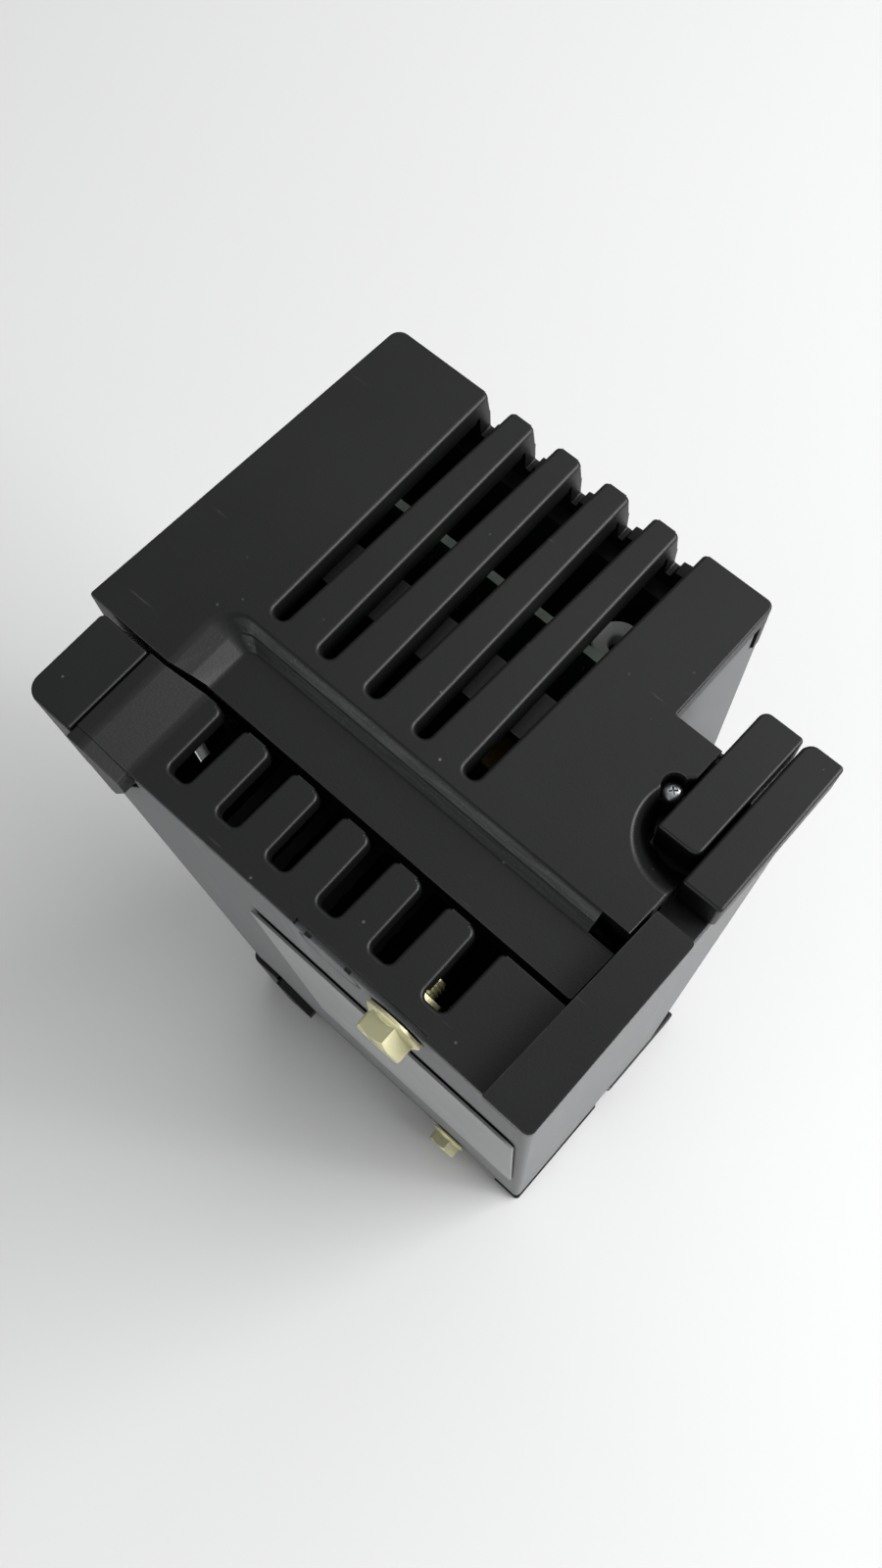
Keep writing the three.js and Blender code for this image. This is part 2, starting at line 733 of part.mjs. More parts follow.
function trimmerDialGeometry() {
  const { left, level, radius } = TRIMMER;
  const rear = PCB.rear + PCB.thick + 5 + 2 * GAP;
  const stem = bar(left, level, 1.8, rear, 80, 12);
  const dial = bar(left, level, radius, 78.5, DEPTH - 0.8, 20);
  const slot = block(left - 0.6, left + 0.6, DEPTH - 2, DEPTH + 1, level - 3, level + 3);
  return surface(cut(join(solid(stem), solid(dial)), solid(slot)));
}

const lightPipeGeometry = (level) =>
  surface(
    join(
      solid(bar(TRIMMER.left, level, 1.5, PCB.rear + PCB.thick + 1.5, DEPTH - 0.4, 12)),
      solid(bar(TRIMMER.left, level, 2.6, 76, 78.2, 12)),
    ),
  );

// Board with a hole for each standoff screw.
const STANDOFFS = [[32, 24], [84, 24], [32, 194], [84, 194]];

function boardGeometry() {
  const board = across(
    [
      [PCB.left, PCB.low, 1],
      [PCB.right, PCB.low, 1],
      [PCB.right - 2, PCB.high, 1],
      [PCB.left, PCB.high, 1],
    ],
    PCB.rear,
    PCB.rear + PCB.thick,
  );
  const holes = STANDOFFS.map(([left, level]) => bar(left, level, 1.7, 60, 70, 10));
  return surface(cut(solid(board), ...holes.map(solid)));
}

const standoffGeometry = ([left, level]) =>
  bar(left, level, 3.2, SINK_BASE[1] + GAP, PCB.rear - GAP, 6);

function boardScrewGeometry([left, level]) {
  const front = PCB.rear + PCB.thick + GAP;
  return surface(
    join(
      solid(bar(left, level, 2.8, front, front + 2, 12)),
      solid(bar(left, level, 1.3, PCB.rear + 0.2, front + 1, 10)),
    ),
  );
}

// A winding core, as a ring that closes on itself.
function ringGeometry(left, rear, level, outer, inner, height, turnToWall) {
  const corner = 0.6;
  const profile = [
    [inner, -height / 2 + corner],
    [inner + corner, -height / 2],
    [outer - corner, -height / 2],
    [outer, -height / 2 + corner],
    [outer, height / 2 - corner],
    [outer - corner, height / 2],
    [inner + corner, height / 2],
    [inner, height / 2 - corner],
    [inner, -height / 2 + corner],
  ].map(([radius, level2]) => new THREE.Vector2(radius, level2));
  const ring = new THREE.LatheGeometry(profile, 20);
  if (!turnToWall) ring.rotateX(Math.PI / 2);
  return surface(solid(ring.translate(x(left), y(rear), level)));
}

// Metal oxide varistor: a round disc with its flat faces towards the board.
const varistorGeometry = (left, level) => bar(left, level, 7, PCB.rear - 6, PCB.rear - GAP, 16);

const capacitorGeometry = (left, level) =>
  surface(
    solid(
      across(
        [
          [left - 13, level - 8, 1],
          [left + 13, level - 8, 1],
          [left + 13, level + 8, 1],
          [left - 13, level + 8, 1],
        ],
        PCB.rear - 12,
        PCB.rear - GAP,
      ),
    ),
  );

const resistorGeometry = (left, level) =>
  block(left - 3.2, left + 3.2, PCB.rear - 7, PCB.rear - GAP, level - 12, level + 12);

const FRONT_OF_BOARD = PCB.rear + PCB.thick + GAP;

const optocouplerGeometry = (level) =>
  block(84, 90.5, FRONT_OF_BOARD, FRONT_OF_BOARD + 4, level - 5, level + 5);

const electrolyticGeometry = () => post(90, FRONT_OF_BOARD + 5.4, 5, 60, 80, 16);

const upperCover = coverGeometry();
add("upper_cover", upperCover, BLACK);
add("lower_cover", turnedOver(upperCover), BLACK);
const upperGuard = finGuardGeometry();
add("upper_fin_guard", upperGuard, BLACK);
add("lower_fin_guard", turnedOver(upperGuard), BLACK);
const cornerBlock = cornerBlockGeometry();
add("upper_corner_block", cornerBlock, BLACK);
add("lower_corner_block", turnedOver(cornerBlock), BLACK);
const outerFinger = fingerGeometry(OUTER_FINGER);
const innerFinger = fingerGeometry(INNER_FINGER);
add("upper_outer_finger", outerFinger, BLACK);
add("lower_outer_finger", turnedOver(outerFinger), BLACK);
add("upper_inner_finger", innerFinger, BLACK);
add("lower_inner_finger", turnedOver(innerFinger), BLACK);
const pocketScrew = pocketScrewGeometry();
add("upper_pocket_screw", pocketScrew, STEEL);
add("lower_pocket_screw", turnedOver(pocketScrew), STEEL);
const earthScrew = earthScrewGeometry();
add("upper_earth_screw", earthScrew, ZINC);
add("lower_earth_screw", turnedOver(earthScrew), ZINC);
const earthNut = earthNutGeometry();
add("upper_earth_nut", earthNut, ZINC);
add("lower_earth_nut", turnedOver(earthNut), ZINC);

add("rear_chassis", rearChassisGeometry(), GREY_SHEET);
add("housing_shell", housingShellGeometry(), LIGHT_GREY);
add("rating_plate", block(2.5, 62.5, -0.5, 0.05, 85, 186), LABEL);

add("heat_sink", heatSinkGeometry(), ALUMINIUM);
["lower", "upper"].forEach((place, i) => {
  const [low, high] = MODULE_LEVELS[i];
  const padFront = MODULE.rear - GAP;
  const padRear = SINK_BASE[1] + GAP;
  add(`${place}_thermal_pad`, block(MODULE.left, MODULE.right, padRear, padFront, low, high), PAD);
  add(`${place}_thyristor_module`, moduleGeometry(MODULE_LEVELS[i]), DARK);
});
["load", "line"].forEach((place, i) => {
  add(`${place}_busbar`, strapGeometry(CLAMP_LEVELS[i]), COPPER);
  add(`${place}_clamp_screw`, clampScrewGeometry(CLAMP_LEVELS[i]), ZINC);
});
add("terminal_block", terminalBlockGeometry(), DARK);
add("terminal_door", terminalDoorGeometry(), BLACK);
add(
  "door_hinge_pin",
  post(HINGE.left, HINGE.rear, HINGE.pin, DOOR.low - 3 + GAP, DOOR.high + 3.5, 12),
  STEEL,
);

add("control_board", boardGeometry(), BOARD);
STANDOFFS.forEach((place, i) => {
  add(`board_standoff_${i + 1}`, standoffGeometry(place), BRASS);
  add(`board_screw_${i + 1}`, boardScrewGeometry(place), STEEL);
});
add("choke_ring", ringGeometry(40.6, FRONT_OF_BOARD + 4.3, HEIGHT - 16, 4.25, 1.55, 4, false), FERRITE);
add("pulse_transformer", ringGeometry(74, FRONT_OF_BOARD + 4.3, 60, 9, 4, 7, true), FERRITE);
add("line_varistor", varistorGeometry(44, 178), BLUE);
add("load_varistor", varistorGeometry(62, 178), BLUE);
add("line_snubber_capacitor", capacitorGeometry(48, 158), YELLOW);
add("load_snubber_capacitor", capacitorGeometry(48, 60), YELLOW);
add("line_snubber_resistor", resistorGeometry(86, 158), CERAMIC);
add("load_snubber_resistor", resistorGeometry(86, 60), CERAMIC);
add("upper_optocoupler", optocouplerGeometry(176), CERAMIC);
add("lower_optocoupler", optocouplerGeometry(150), CERAMIC);
add("supply_capacitor", electrolyticGeometry(), DARK);
add("control_header", controlHeaderGeometry(), GREEN);
add("control_plug", controlPlugGeometry(), GREEN);
add("trimmer_base", trimmerBaseGeometry(), BLUE);
add("trimmer_dial", trimmerDialGeometry(), CERAMIC);
add("load_light_pipe", lightPipeGeometry(LIGHT_LEVELS[0]), CLEAR);
add("supply_light_pipe", lightPipeGeometry(LIGHT_LEVELS[1]), CLEAR);

export default part;
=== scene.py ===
"""Looks for an upright solid state relay unit: covers, sheet chassis, vents and what they hold."""
import json
import math
from functools import cache

import bmesh
import bpy
from bpy.props import FloatProperty, FloatVectorProperty, IntProperty, PointerProperty
from mathutils import Euler, Matrix, Vector


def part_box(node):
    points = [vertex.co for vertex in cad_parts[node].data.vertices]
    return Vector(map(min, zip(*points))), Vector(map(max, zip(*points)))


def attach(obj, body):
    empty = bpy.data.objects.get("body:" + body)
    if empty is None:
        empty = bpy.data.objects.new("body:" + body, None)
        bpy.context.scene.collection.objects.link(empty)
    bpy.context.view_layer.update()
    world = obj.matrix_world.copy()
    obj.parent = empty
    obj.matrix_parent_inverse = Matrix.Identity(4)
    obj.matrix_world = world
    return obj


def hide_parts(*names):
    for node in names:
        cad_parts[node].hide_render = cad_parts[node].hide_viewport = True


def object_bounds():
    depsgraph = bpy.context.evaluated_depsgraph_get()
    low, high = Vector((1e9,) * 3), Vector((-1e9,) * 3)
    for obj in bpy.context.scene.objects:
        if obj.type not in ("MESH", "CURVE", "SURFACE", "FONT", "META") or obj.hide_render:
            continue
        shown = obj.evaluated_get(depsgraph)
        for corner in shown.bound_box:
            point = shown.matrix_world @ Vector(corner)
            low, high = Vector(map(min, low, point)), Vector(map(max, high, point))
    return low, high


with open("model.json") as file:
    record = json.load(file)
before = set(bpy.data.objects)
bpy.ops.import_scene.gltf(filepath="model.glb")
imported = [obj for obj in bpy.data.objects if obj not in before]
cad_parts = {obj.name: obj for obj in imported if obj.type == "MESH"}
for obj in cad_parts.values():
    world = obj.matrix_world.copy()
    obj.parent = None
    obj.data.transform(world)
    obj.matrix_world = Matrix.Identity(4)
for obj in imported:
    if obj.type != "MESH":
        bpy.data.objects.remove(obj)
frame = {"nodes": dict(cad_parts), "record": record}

bl_info = {
    "name": "Solid State Relay Looks",
    "version": (1, 0, 0),
    "blender": (4, 5, 0),
    "location": "View3D > Sidebar > Relay",
    "description": "Builds the visible pieces of an upright solid state relay around its frame",
    "category": "Object",
}

MM = 0.001
CAD_LOW, CAD_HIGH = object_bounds()
HEIGHT = CAD_HIGH.z
SCREW_REACH = 4 * MM  # the earth screws stand this far behind the rear wall
REAR = CAD_HIGH.y - SCREW_REACH
LEFT = CAD_LOW.x

BODY_OF = {
    node: body
    for body, nodes in frame["record"]["behaviour"]["bodies"].items()
    for node in nodes
}


# ---------------------------------------------------------------- sizes and colours

def length(name, description, value):
    return FloatProperty(name=name, description=description, default=value * MM, unit="LENGTH")


class RelaySizes(bpy.types.PropertyGroup):
    """Sizes of the finer shapes, which the frame leaves plain."""

    moulding_edge: length("Moulding Edge", "Edge radius of the black mouldings", 0.6)
    small_edge: length("Small Edge", "Edge radius of small parts and sheet", 0.2)
    vent_width: length("Vent Width", "Width of one vent in the cover, at the front", 4.75)
    vent_taper: length("Vent Taper", "How much narrower a vent is at its closed end", 1.95)
    cover_plate: length("Cover Plate", "Thickness of the cover plate and its vent bars", 4)
    channel_depth: length("Channel Depth", "Depth of the sunken channel across the cover", 3.5)
    solder_rows: IntProperty(
        name="Solder Rows", description="Rows of solder joints down the back of the board",
        default=46,
    )
    camera_lens: FloatProperty(
        name="Camera Lens", description="Focal length of the camera", default=31.5,
        unit="CAMERA",
    )


def colour(name, description, value):
    return FloatVectorProperty(
        name=name, description=description, default=value, subtype="COLOR", min=0, max=1,
    )


class RelayColours(bpy.types.PropertyGroup):
    """Base colours of the finishes."""

    black: colour("Black Moulding", "Satin black plastic", (0.0098, 0.0102, 0.0108))
    corner: colour("Corner Moulding", "Black plastic of the corner blocks", (0.012, 0.0125, 0.013))
    sheet: colour("Chassis Sheet", "Grey powder coat", (0.19, 0.192, 0.195))
    housing: colour("Housing", "Light grey moulding", (0.155, 0.158, 0.161))
    # Painted shade: a dark colour for the inside of the housing, which lies in shade behind the vents.
    inside: colour("Housing Inside", "Dark inner face of the housing", (0.035, 0.036, 0.038))
    label: colour("Label Film", "Blank film on the rear wall", (0.3, 0.302, 0.304))
    zinc: colour("Yellow Zinc", "Pale passivated zinc", (0.72, 0.72, 0.47))
    steel: colour("Screw Steel", "Bright plated steel", (0.62, 0.63, 0.65))
    # Painted shade: darkened to near black so the extrusion reads dark deep in the comb slots.
    aluminium_in_shade: colour("Aluminium", "Mill finish extrusion", (0.035, 0.036, 0.038))
    board: colour("Board", "Green solder mask", (0.05, 0.2, 0.13))
    solder: colour("Solder", "Dull tin", (0.16, 0.17, 0.17))
    resin: colour("Module Resin", "Dark moulded resin", (0.016, 0.016, 0.018))
    ferrite: colour("Ferrite", "Grey coated core", (0.74, 0.745, 0.74))
    blue: colour("Blue Epoxy", "Varistor coat", (0.02, 0.09, 0.34))
    yellow: colour("Yellow Case", "Capacitor case", (0.62, 0.36, 0.04))
    ceramic: colour("Ceramic", "White ceramic case", (0.66, 0.64, 0.57))
    green: colour("Connector Green", "Connector moulding", (0.03, 0.24, 0.09))
    ivory: colour("Dial Ivory", "Trimmer dial", (0.63, 0.58, 0.47))
    brass: colour("Brass", "Turned brass", (0.66, 0.48, 0.2))
    tinned: colour("Tinned Copper", "Busbar", (0.66, 0.56, 0.47))
    floor: colour("Floor", "Plain pale floor", (0.80, 0.80, 0.80))


def sizes():
    return bpy.context.scene.relay_sizes


def colours():
    return bpy.context.scene.relay_colours


# ---------------------------------------------------------------- places and outlines

ARC_STEP = math.radians(12)


def plan(left, rear):
    """A place in plan from its distances, in millimetres, from the left side and the rear wall."""
    return LEFT + left * MM, REAR - rear * MM


def top(depth):
    """A level from its depth, in millimetres, below the top."""
    return HEIGHT - depth * MM


def rounded(corners):
    """An outline with an arc at each corner that gives a radius as its third number."""
    points = []
    count = len(corners)
    for i, corner in enumerate(corners):
        here = Vector(corner[:2])
        radius = corner[2] if len(corner) > 2 else 0
        if radius <= 0:
            points.append(here)
            continue
        back = (Vector(corners[i - 1][:2]) - here).normalized()
        on = (Vector(corners[(i + 1) % count][:2]) - here).normalized()
        half = back.angle(on) / 2
        reach = radius / math.tan(half)
        centre = here + (back + on).normalized() * (radius / math.sin(half))
        start = here + back * reach - centre
        sweep = math.pi - 2 * half
        end = here + on * reach - centre
        turn = 1 if start.x * end.y > start.y * end.x else -1
        pieces = max(2, math.ceil(sweep / ARC_STEP))
        for k in range(pieces + 1):
            angle = turn * sweep * k / pieces
            points.append(centre + Matrix.Rotation(angle, 2) @ start)
    return points


def plan_outline(corners):
    """A rounded outline in plan, in metres, from corners of (left, rear, radius) in millimetres."""
    return [plan(*point) for point in rounded(corners)]


# ---------------------------------------------------------------- mesh making

def new_object(name, mesh):
    piece = bpy.data.objects.new(name, mesh)
    bpy.context.scene.collection.objects.link(piece)
    return piece


def mesh_from(name, build):
    mesh = bpy.data.meshes.new(name)
    work = bmesh.new()
    build(work)
    bmesh.ops.remove_doubles(work, verts=work.verts, dist=1e-7)
    bmesh.ops.recalc_face_normals(work, faces=work.faces)
    work.to_mesh(mesh)
    work.free()
    return mesh


def loft(name, rings):
    """A closed solid through rings of equal length, each ring a list of points."""

    def build(work):
        rows = [[work.verts.new(point) for point in ring] for ring in rings]
        count = len(rows[0])
        for low, high in zip(rows, rows[1:]):
            for i in range(count):
                j = (i + 1) % count
                work.faces.new((low[i], low[j], high[j], high[i]))
        work.faces.new(list(reversed(rows[0])))
        work.faces.new(rows[-1])

    return new_object(name, mesh_from(name, build))


def upright(name, corners, low, high):
    """A plan outline raised between two levels."""
    outline = plan_outline(corners)
    return loft(name, [[(x, y, level) for x, y in outline] for level in (low, high)])


def across(name, corners, rear, front):
    """A profile of (left, level in metres from millimetres, radius) run from one depth to another."""
    outline = rounded(corners)
    rings = [
        [(LEFT + left * MM, REAR - depth * MM, level * MM) for left, level in outline]
        for depth in (rear, front)
    ]
    return loft(name, rings)


def cuboid(name, left, right, rear, front, low, high):
    return upright(
        name, [(left, rear), (right, rear), (right, front), (left, front)], low * MM, high * MM,
    )


def rod(name, centre, direction, radius, length, sides=32):
    """A round bar that starts at centre and runs along direction."""
    turn = Vector(direction).to_track_quat("Z", "Y").to_matrix()
    rings = []
    for reach in (0, length):
        rings.append([
            Vector(centre) + turn @ Vector((
                radius * math.cos(math.tau * i / sides),
                radius * math.sin(math.tau * i / sides),
                reach,
            ))
            for i in range(sides)
        ])
    return loft(name, rings)


def turned(name, centre, direction, profile, sides=48, phase=0.0):
    """A turned solid: profile is (radius, distance along direction), from axis to axis."""
    turn = Vector(direction).to_track_quat("Z", "Y").to_matrix()

    def build(work):
        rows = []
        for radius, reach in profile:
            if radius <= 0:
                rows.append([work.verts.new(Vector(centre) + turn @ Vector((0, 0, reach)))])
                continue
            rows.append([
                work.verts.new(Vector(centre) + turn @ Vector((
                    radius * math.cos(phase + math.tau * i / sides),
                    radius * math.sin(phase + math.tau * i / sides),
                    reach,
                )))
                for i in range(sides)
            ])
        for low, high in zip(rows, rows[1:]):
            for i in range(sides):
                j = (i + 1) % sides
                ring = [low[i % len(low)], low[j % len(low)], high[j % len(high)], high[i % len(high)]]
                work.faces.new(list(dict.fromkeys(ring)))

    return new_object(name, mesh_from(name, build))


def plain_mesh(piece):
    """Turns what the modifiers give into the piece's own mesh."""
    seen = bpy.context.evaluated_depsgraph_get()
    mesh = bpy.data.meshes.new_from_object(piece.evaluated_get(seen), depsgraph=seen)
    piece.modifiers.clear()
    piece.data = mesh
    return piece


def carve(body, tools, operation="DIFFERENCE"):
    """Cuts the tools from the body, or joins them to it, and removes them."""
    for tool in tools:
        step = body.modifiers.new("carve", "BOOLEAN")
        step.operation = operation
        step.solver = "EXACT"
        step.object = tool
        plain_mesh(body)
        bpy.data.objects.remove(tool)
    return body


def span(node):
    """The node's box in millimetres: left, right, rear, front, low and high."""
    low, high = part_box(node)
    return (
        (low.x - LEFT) / MM, (high.x - LEFT) / MM, (REAR - high.y) / MM, (REAR - low.y) / MM,
        low.z / MM, high.z / MM,
    )


def tidy_faces(piece, angle=math.radians(0.6)):
    work = bmesh.new()
    work.from_mesh(piece.data)
    bmesh.ops.remove_doubles(work, verts=work.verts, dist=2e-6)
    bmesh.ops.dissolve_degenerate(work, edges=work.edges, dist=2e-6)
    bmesh.ops.dissolve_limit(work, angle_limit=angle, verts=work.verts, edges=work.edges)
    work.to_mesh(piece.data)
    work.free()
    return piece


def even_out(piece, angle=math.radians(32)):
    """Smooths the piece except over its sharp edges, with normals that follow its large faces."""
    piece.data.shade_smooth()
    piece.data.set_sharp_from_angle(angle=angle)
    normals = piece.modifiers.new("normals", "WEIGHTED_NORMAL")
    normals.mode = "FACE_AREA"
    normals.keep_sharp = True
    return plain_mesh(piece)


def soften(piece, width, segments=3, angle=math.radians(32)):
    """Rounds every sharp edge and smooths the rest."""
    bevel = piece.modifiers.new("edges", "BEVEL")
    bevel.width = width
    bevel.segments = segments
    bevel.limit_method = "ANGLE"
    bevel.angle_limit = angle
    bevel.miter_outer = "MITER_ARC"
    bevel.use_clamp_overlap = True
    piece.data.shade_smooth()
    piece.data.set_sharp_from_angle(angle=angle)
    return even_out(plain_mesh(piece), angle)


def turned_over(piece, name):
    """The same piece at the lower end, mirrored about the middle of the height."""
    mesh = piece.data.copy()
    mesh.transform(Matrix.Translation((0, 0, HEIGHT)) @ Matrix.Diagonal((1, 1, -1, 1)))
    mesh.flip_normals()
    return new_object(name, mesh)


def stand_pair(upper, node, width, finish, name=None):
    """Rounds and places an upper moulding and its twin at the lower end."""
    name = name or node
    lower = turned_over(upper, f"lower_{name}_moulding")
    upper.name = f"upper_{name}_moulding"
    for piece, place in ((upper, "upper"), (lower, "lower")):
        soften(piece, width)
        stand_for(piece, [f"{place}_{node}"], finish())


def stand_for(piece, nodes, finish):
    """Gives a finished piece its material and its place in the frame."""
    piece.data.materials.clear()
    piece.data.materials.append(finish)
    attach(piece, BODY_OF[nodes[0]])
    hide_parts(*nodes)
    return piece


def from_frame(node, name):
    """A merged copy of a frame node, ready to be softened."""
    source = frame["nodes"][node]
    piece = new_object(name, source.data.copy())
    piece.data.materials.clear()
    return tidy_faces(piece)


def refine(node, finish, width=None, segments=2):
    """A frame node with rounded edges and a finish."""
    piece = from_frame(node, f"{node}_shape")
    soften(piece, width or sizes().small_edge, segments)
    return stand_for(piece, [node], finish)


# ---------------------------------------------------------------- geometry nodes

REPEAT_INPUTS = (
    ("Piece", "NodeSocketObject", None),
    ("Count", "NodeSocketInt", 2),
    ("Start", "NodeSocketVector", (0, 0, 0)),
    ("Step", "NodeSocketVector", (0.01, 0, 0)),
    ("Rows", "NodeSocketInt", 1),
    ("Row Step", "NodeSocketVector", (0, 0, 0.01)),
    ("Kept Share", "NodeSocketFloat", 1.0),
    ("Seed", "NodeSocketInt", 3),
    ("Finish", "NodeSocketMaterial", None),
)


def repeat_tree():
    """A node tree that sets copies of one piece out in rows and columns."""
    name = "Repeat Piece"
    if name in bpy.data.node_groups:
        return bpy.data.node_groups[name]
    tree = bpy.data.node_groups.new(name, "GeometryNodeTree")
    sockets = tree.interface
    sockets.new_socket("Geometry", in_out="OUTPUT", socket_type="NodeSocketGeometry")
    for label, kind, default in REPEAT_INPUTS:
        socket = sockets.new_socket(label, in_out="INPUT", socket_type=kind)
        if default is not None:
            socket.default_value = default
    add = tree.nodes.new
    link = tree.links.new
    given = add("NodeGroupInput")
    info = add("GeometryNodeObjectInfo")
    link(given.outputs["Piece"], info.inputs["Object"])
    column = add("GeometryNodeMeshLine")
    link(given.outputs["Count"], column.inputs["Count"])
    link(given.outputs["Start"], column.inputs["Start Location"])
    link(given.outputs["Step"], column.inputs["Offset"])
    row = add("GeometryNodeMeshLine")
    link(given.outputs["Rows"], row.inputs["Count"])
    link(given.outputs["Row Step"], row.inputs["Offset"])
    grid = add("GeometryNodeInstanceOnPoints")
    link(row.outputs["Mesh"], grid.inputs["Points"])
    link(column.outputs["Mesh"], grid.inputs["Instance"])
    places = add("GeometryNodeRealizeInstances")
    link(grid.outputs["Instances"], places.inputs["Geometry"])
    points = add("GeometryNodeMeshToPoints")
    link(places.outputs["Geometry"], points.inputs["Mesh"])
    chance = add("FunctionNodeRandomValue")
    chance.data_type = "BOOLEAN"
    link(given.outputs["Kept Share"], chance.inputs["Probability"])
    link(given.outputs["Seed"], chance.inputs["Seed"])
    copies = add("GeometryNodeInstanceOnPoints")
    link(points.outputs["Points"], copies.inputs["Points"])
    link(chance.outputs["Value"], copies.inputs["Selection"])
    link(info.outputs["Geometry"], copies.inputs["Instance"])
    real = add("GeometryNodeRealizeInstances")
    link(copies.outputs["Instances"], real.inputs["Geometry"])
    finish = add("GeometryNodeSetMaterial")
    link(real.outputs["Geometry"], finish.inputs["Geometry"])
    link(given.outputs["Finish"], finish.inputs["Material"])
    result = add("NodeGroupOutput")
    link(finish.outputs["Geometry"], result.inputs["Geometry"])
    return tree


def repeat(name, source, finish, count, start, step, rows=1, row_step=(0, 0, 0.01), kept=1.0, seed=3):
    """Copies of source set out by the tree, as a plain mesh. The source is removed."""
    tree = repeat_tree()
    piece = new_object(name, bpy.data.meshes.new(name))
    modifier = piece.modifiers.new("repeat", "NODES")
    modifier.node_group = tree
    values = {
        "Piece": source, "Count": count, "Start": start, "Step": step, "Rows": rows,
        "Row Step": row_step, "Kept Share": kept, "Seed": seed, "Finish": finish,
    }
    for item in tree.interface.items_tree:
        if item.item_type == "SOCKET" and item.in_out == "INPUT":
            modifier[item.identifier] = values[item.name]
    plain_mesh(piece)
    bpy.data.objects.remove(source)
    return piece


# ---------------------------------------------------------------- shader groups

def shader_group(name, inputs, outputs, build):
    """A shader group of colours, masks and heights, built once."""
    if name in bpy.data.node_groups:
        return bpy.data.node_groups[name]
    tree = bpy.data.node_groups.new(name, "ShaderNodeTree")
    for label, kind, default in inputs:
        socket = tree.interface.new_socket(label, in_out="INPUT", socket_type=kind)
        socket.default_value = default
    for label, kind in outputs:
        tree.interface.new_socket(label, in_out="OUTPUT", socket_type=kind)
    given = tree.nodes.new("NodeGroupInput")
    result = tree.nodes.new("NodeGroupOutput")
    build(tree, given, result)
    return tree


def math_node(tree, operation, first, second=None, clamp=False):
    node = tree.nodes.new("ShaderNodeMath")
    node.operation = operation
    node.use_clamp = clamp
    for socket, value in zip(node.inputs, (first, second)):
        if value is None:
            continue
        if isinstance(value, (int, float)):
            socket.default_value = value
        else:
            tree.links.new(value, socket)
    return node.outputs["Value"]


def noise_node(tree, scale, detail=2.0, vector=None):
    node = tree.nodes.new("ShaderNodeTexNoise")
    node.inputs["Detail"].default_value = detail
    if isinstance(scale, (int, float)):
        node.inputs["Scale"].default_value = scale
    else:
        tree.links.new(scale, node.inputs["Scale"])
    tree.links.new(vector or object_place(tree), node.inputs["Vector"])
    return node.outputs["Fac"]


def object_place(tree):
    return tree.nodes.new("ShaderNodeTexCoord").outputs["Object"]


def facing_axes(tree):
    """The parts of the surface's normal."""
    node = tree.nodes.new("ShaderNodeSeparateXYZ")
    tree.links.new(tree.nodes.new("ShaderNodeNewGeometry").outputs["Normal"], node.inputs["Vector"])
    return node.outputs


def ramp(tree, value, low, high):
    """A mask that rises from 0 at low to 1 at high."""
    node = tree.nodes.new("ShaderNodeMapRange")
    node.interpolation_type = "SMOOTHSTEP"
    node.inputs["From Min"].default_value = low
    node.inputs["From Max"].default_value = high
    tree.links.new(value, node.inputs["Value"])
    return node.outputs["Result"]


def grain_group():
    """Spark-eroded mould texture: a fine height with a slow drift of tone and gloss."""

    def build(tree, given, result):
        fine = noise_node(tree, given.outputs["Grain Scale"], 3.0)
        cells = tree.nodes.new("ShaderNodeTexVoronoi")
        cells.feature = "SMOOTH_F1"
        tree.links.new(given.outputs["Grain Scale"], cells.inputs["Scale"])
        tree.links.new(object_place(tree), cells.inputs["Vector"])
        height = math_node(tree, "ADD", fine, cells.outputs["Distance"])
        tree.links.new(height, result.inputs["Height"])
        slow = noise_node(tree, given.outputs["Drift Scale"], 4.0)
        tree.links.new(slow, result.inputs["Drift"])

    return shader_group(
        "Mould Grain",
        [("Grain Scale", "NodeSocketFloat", 2600.0), ("Drift Scale", "NodeSocketFloat", 24.0)],
        [("Height", "NodeSocketFloat"), ("Drift", "NodeSocketFloat")],
        build,
    )


def edge_wear_and_highlight_group():
    """Paler edges for rubbing and for painted edge highlights: where a rounded normal leaves the true one,
    broken up by noise.
    """

    def build(tree, given, result):
        soft = tree.nodes.new("ShaderNodeBevel")
        soft.samples = 4
        tree.links.new(given.outputs["Reach"], soft.inputs["Radius"])
        true = tree.nodes.new("ShaderNodeNewGeometry")
        likeness = tree.nodes.new("ShaderNodeVectorMath")
        likeness.operation = "DOT_PRODUCT"
        tree.links.new(soft.outputs["Normal"], likeness.inputs[0])
        tree.links.new(true.outputs["Normal"], likeness.inputs[1])
        edge = ramp(tree, math_node(tree, "SUBTRACT", 1.0, likeness.outputs["Value"]), 0.01, 0.16)
        patches = ramp(tree, noise_node(tree, given.outputs["Patch Scale"], 5.0), 0.36, 0.66)
        worn = math_node(tree, "MULTIPLY", edge, patches)
        scaled = math_node(tree, "MULTIPLY", worn, given.outputs["Amount"], clamp=True)
        tree.links.new(scaled, result.inputs["Mask"])

    return shader_group(
        "Rubbed Edge",
        [
            ("Reach", "NodeSocketFloat", 0.0006),
            ("Patch Scale", "NodeSocketFloat", 160.0),
            ("Amount", "NodeSocketFloat", 0.6),
        ],
        [("Mask", "NodeSocketFloat")],
        build,
    )


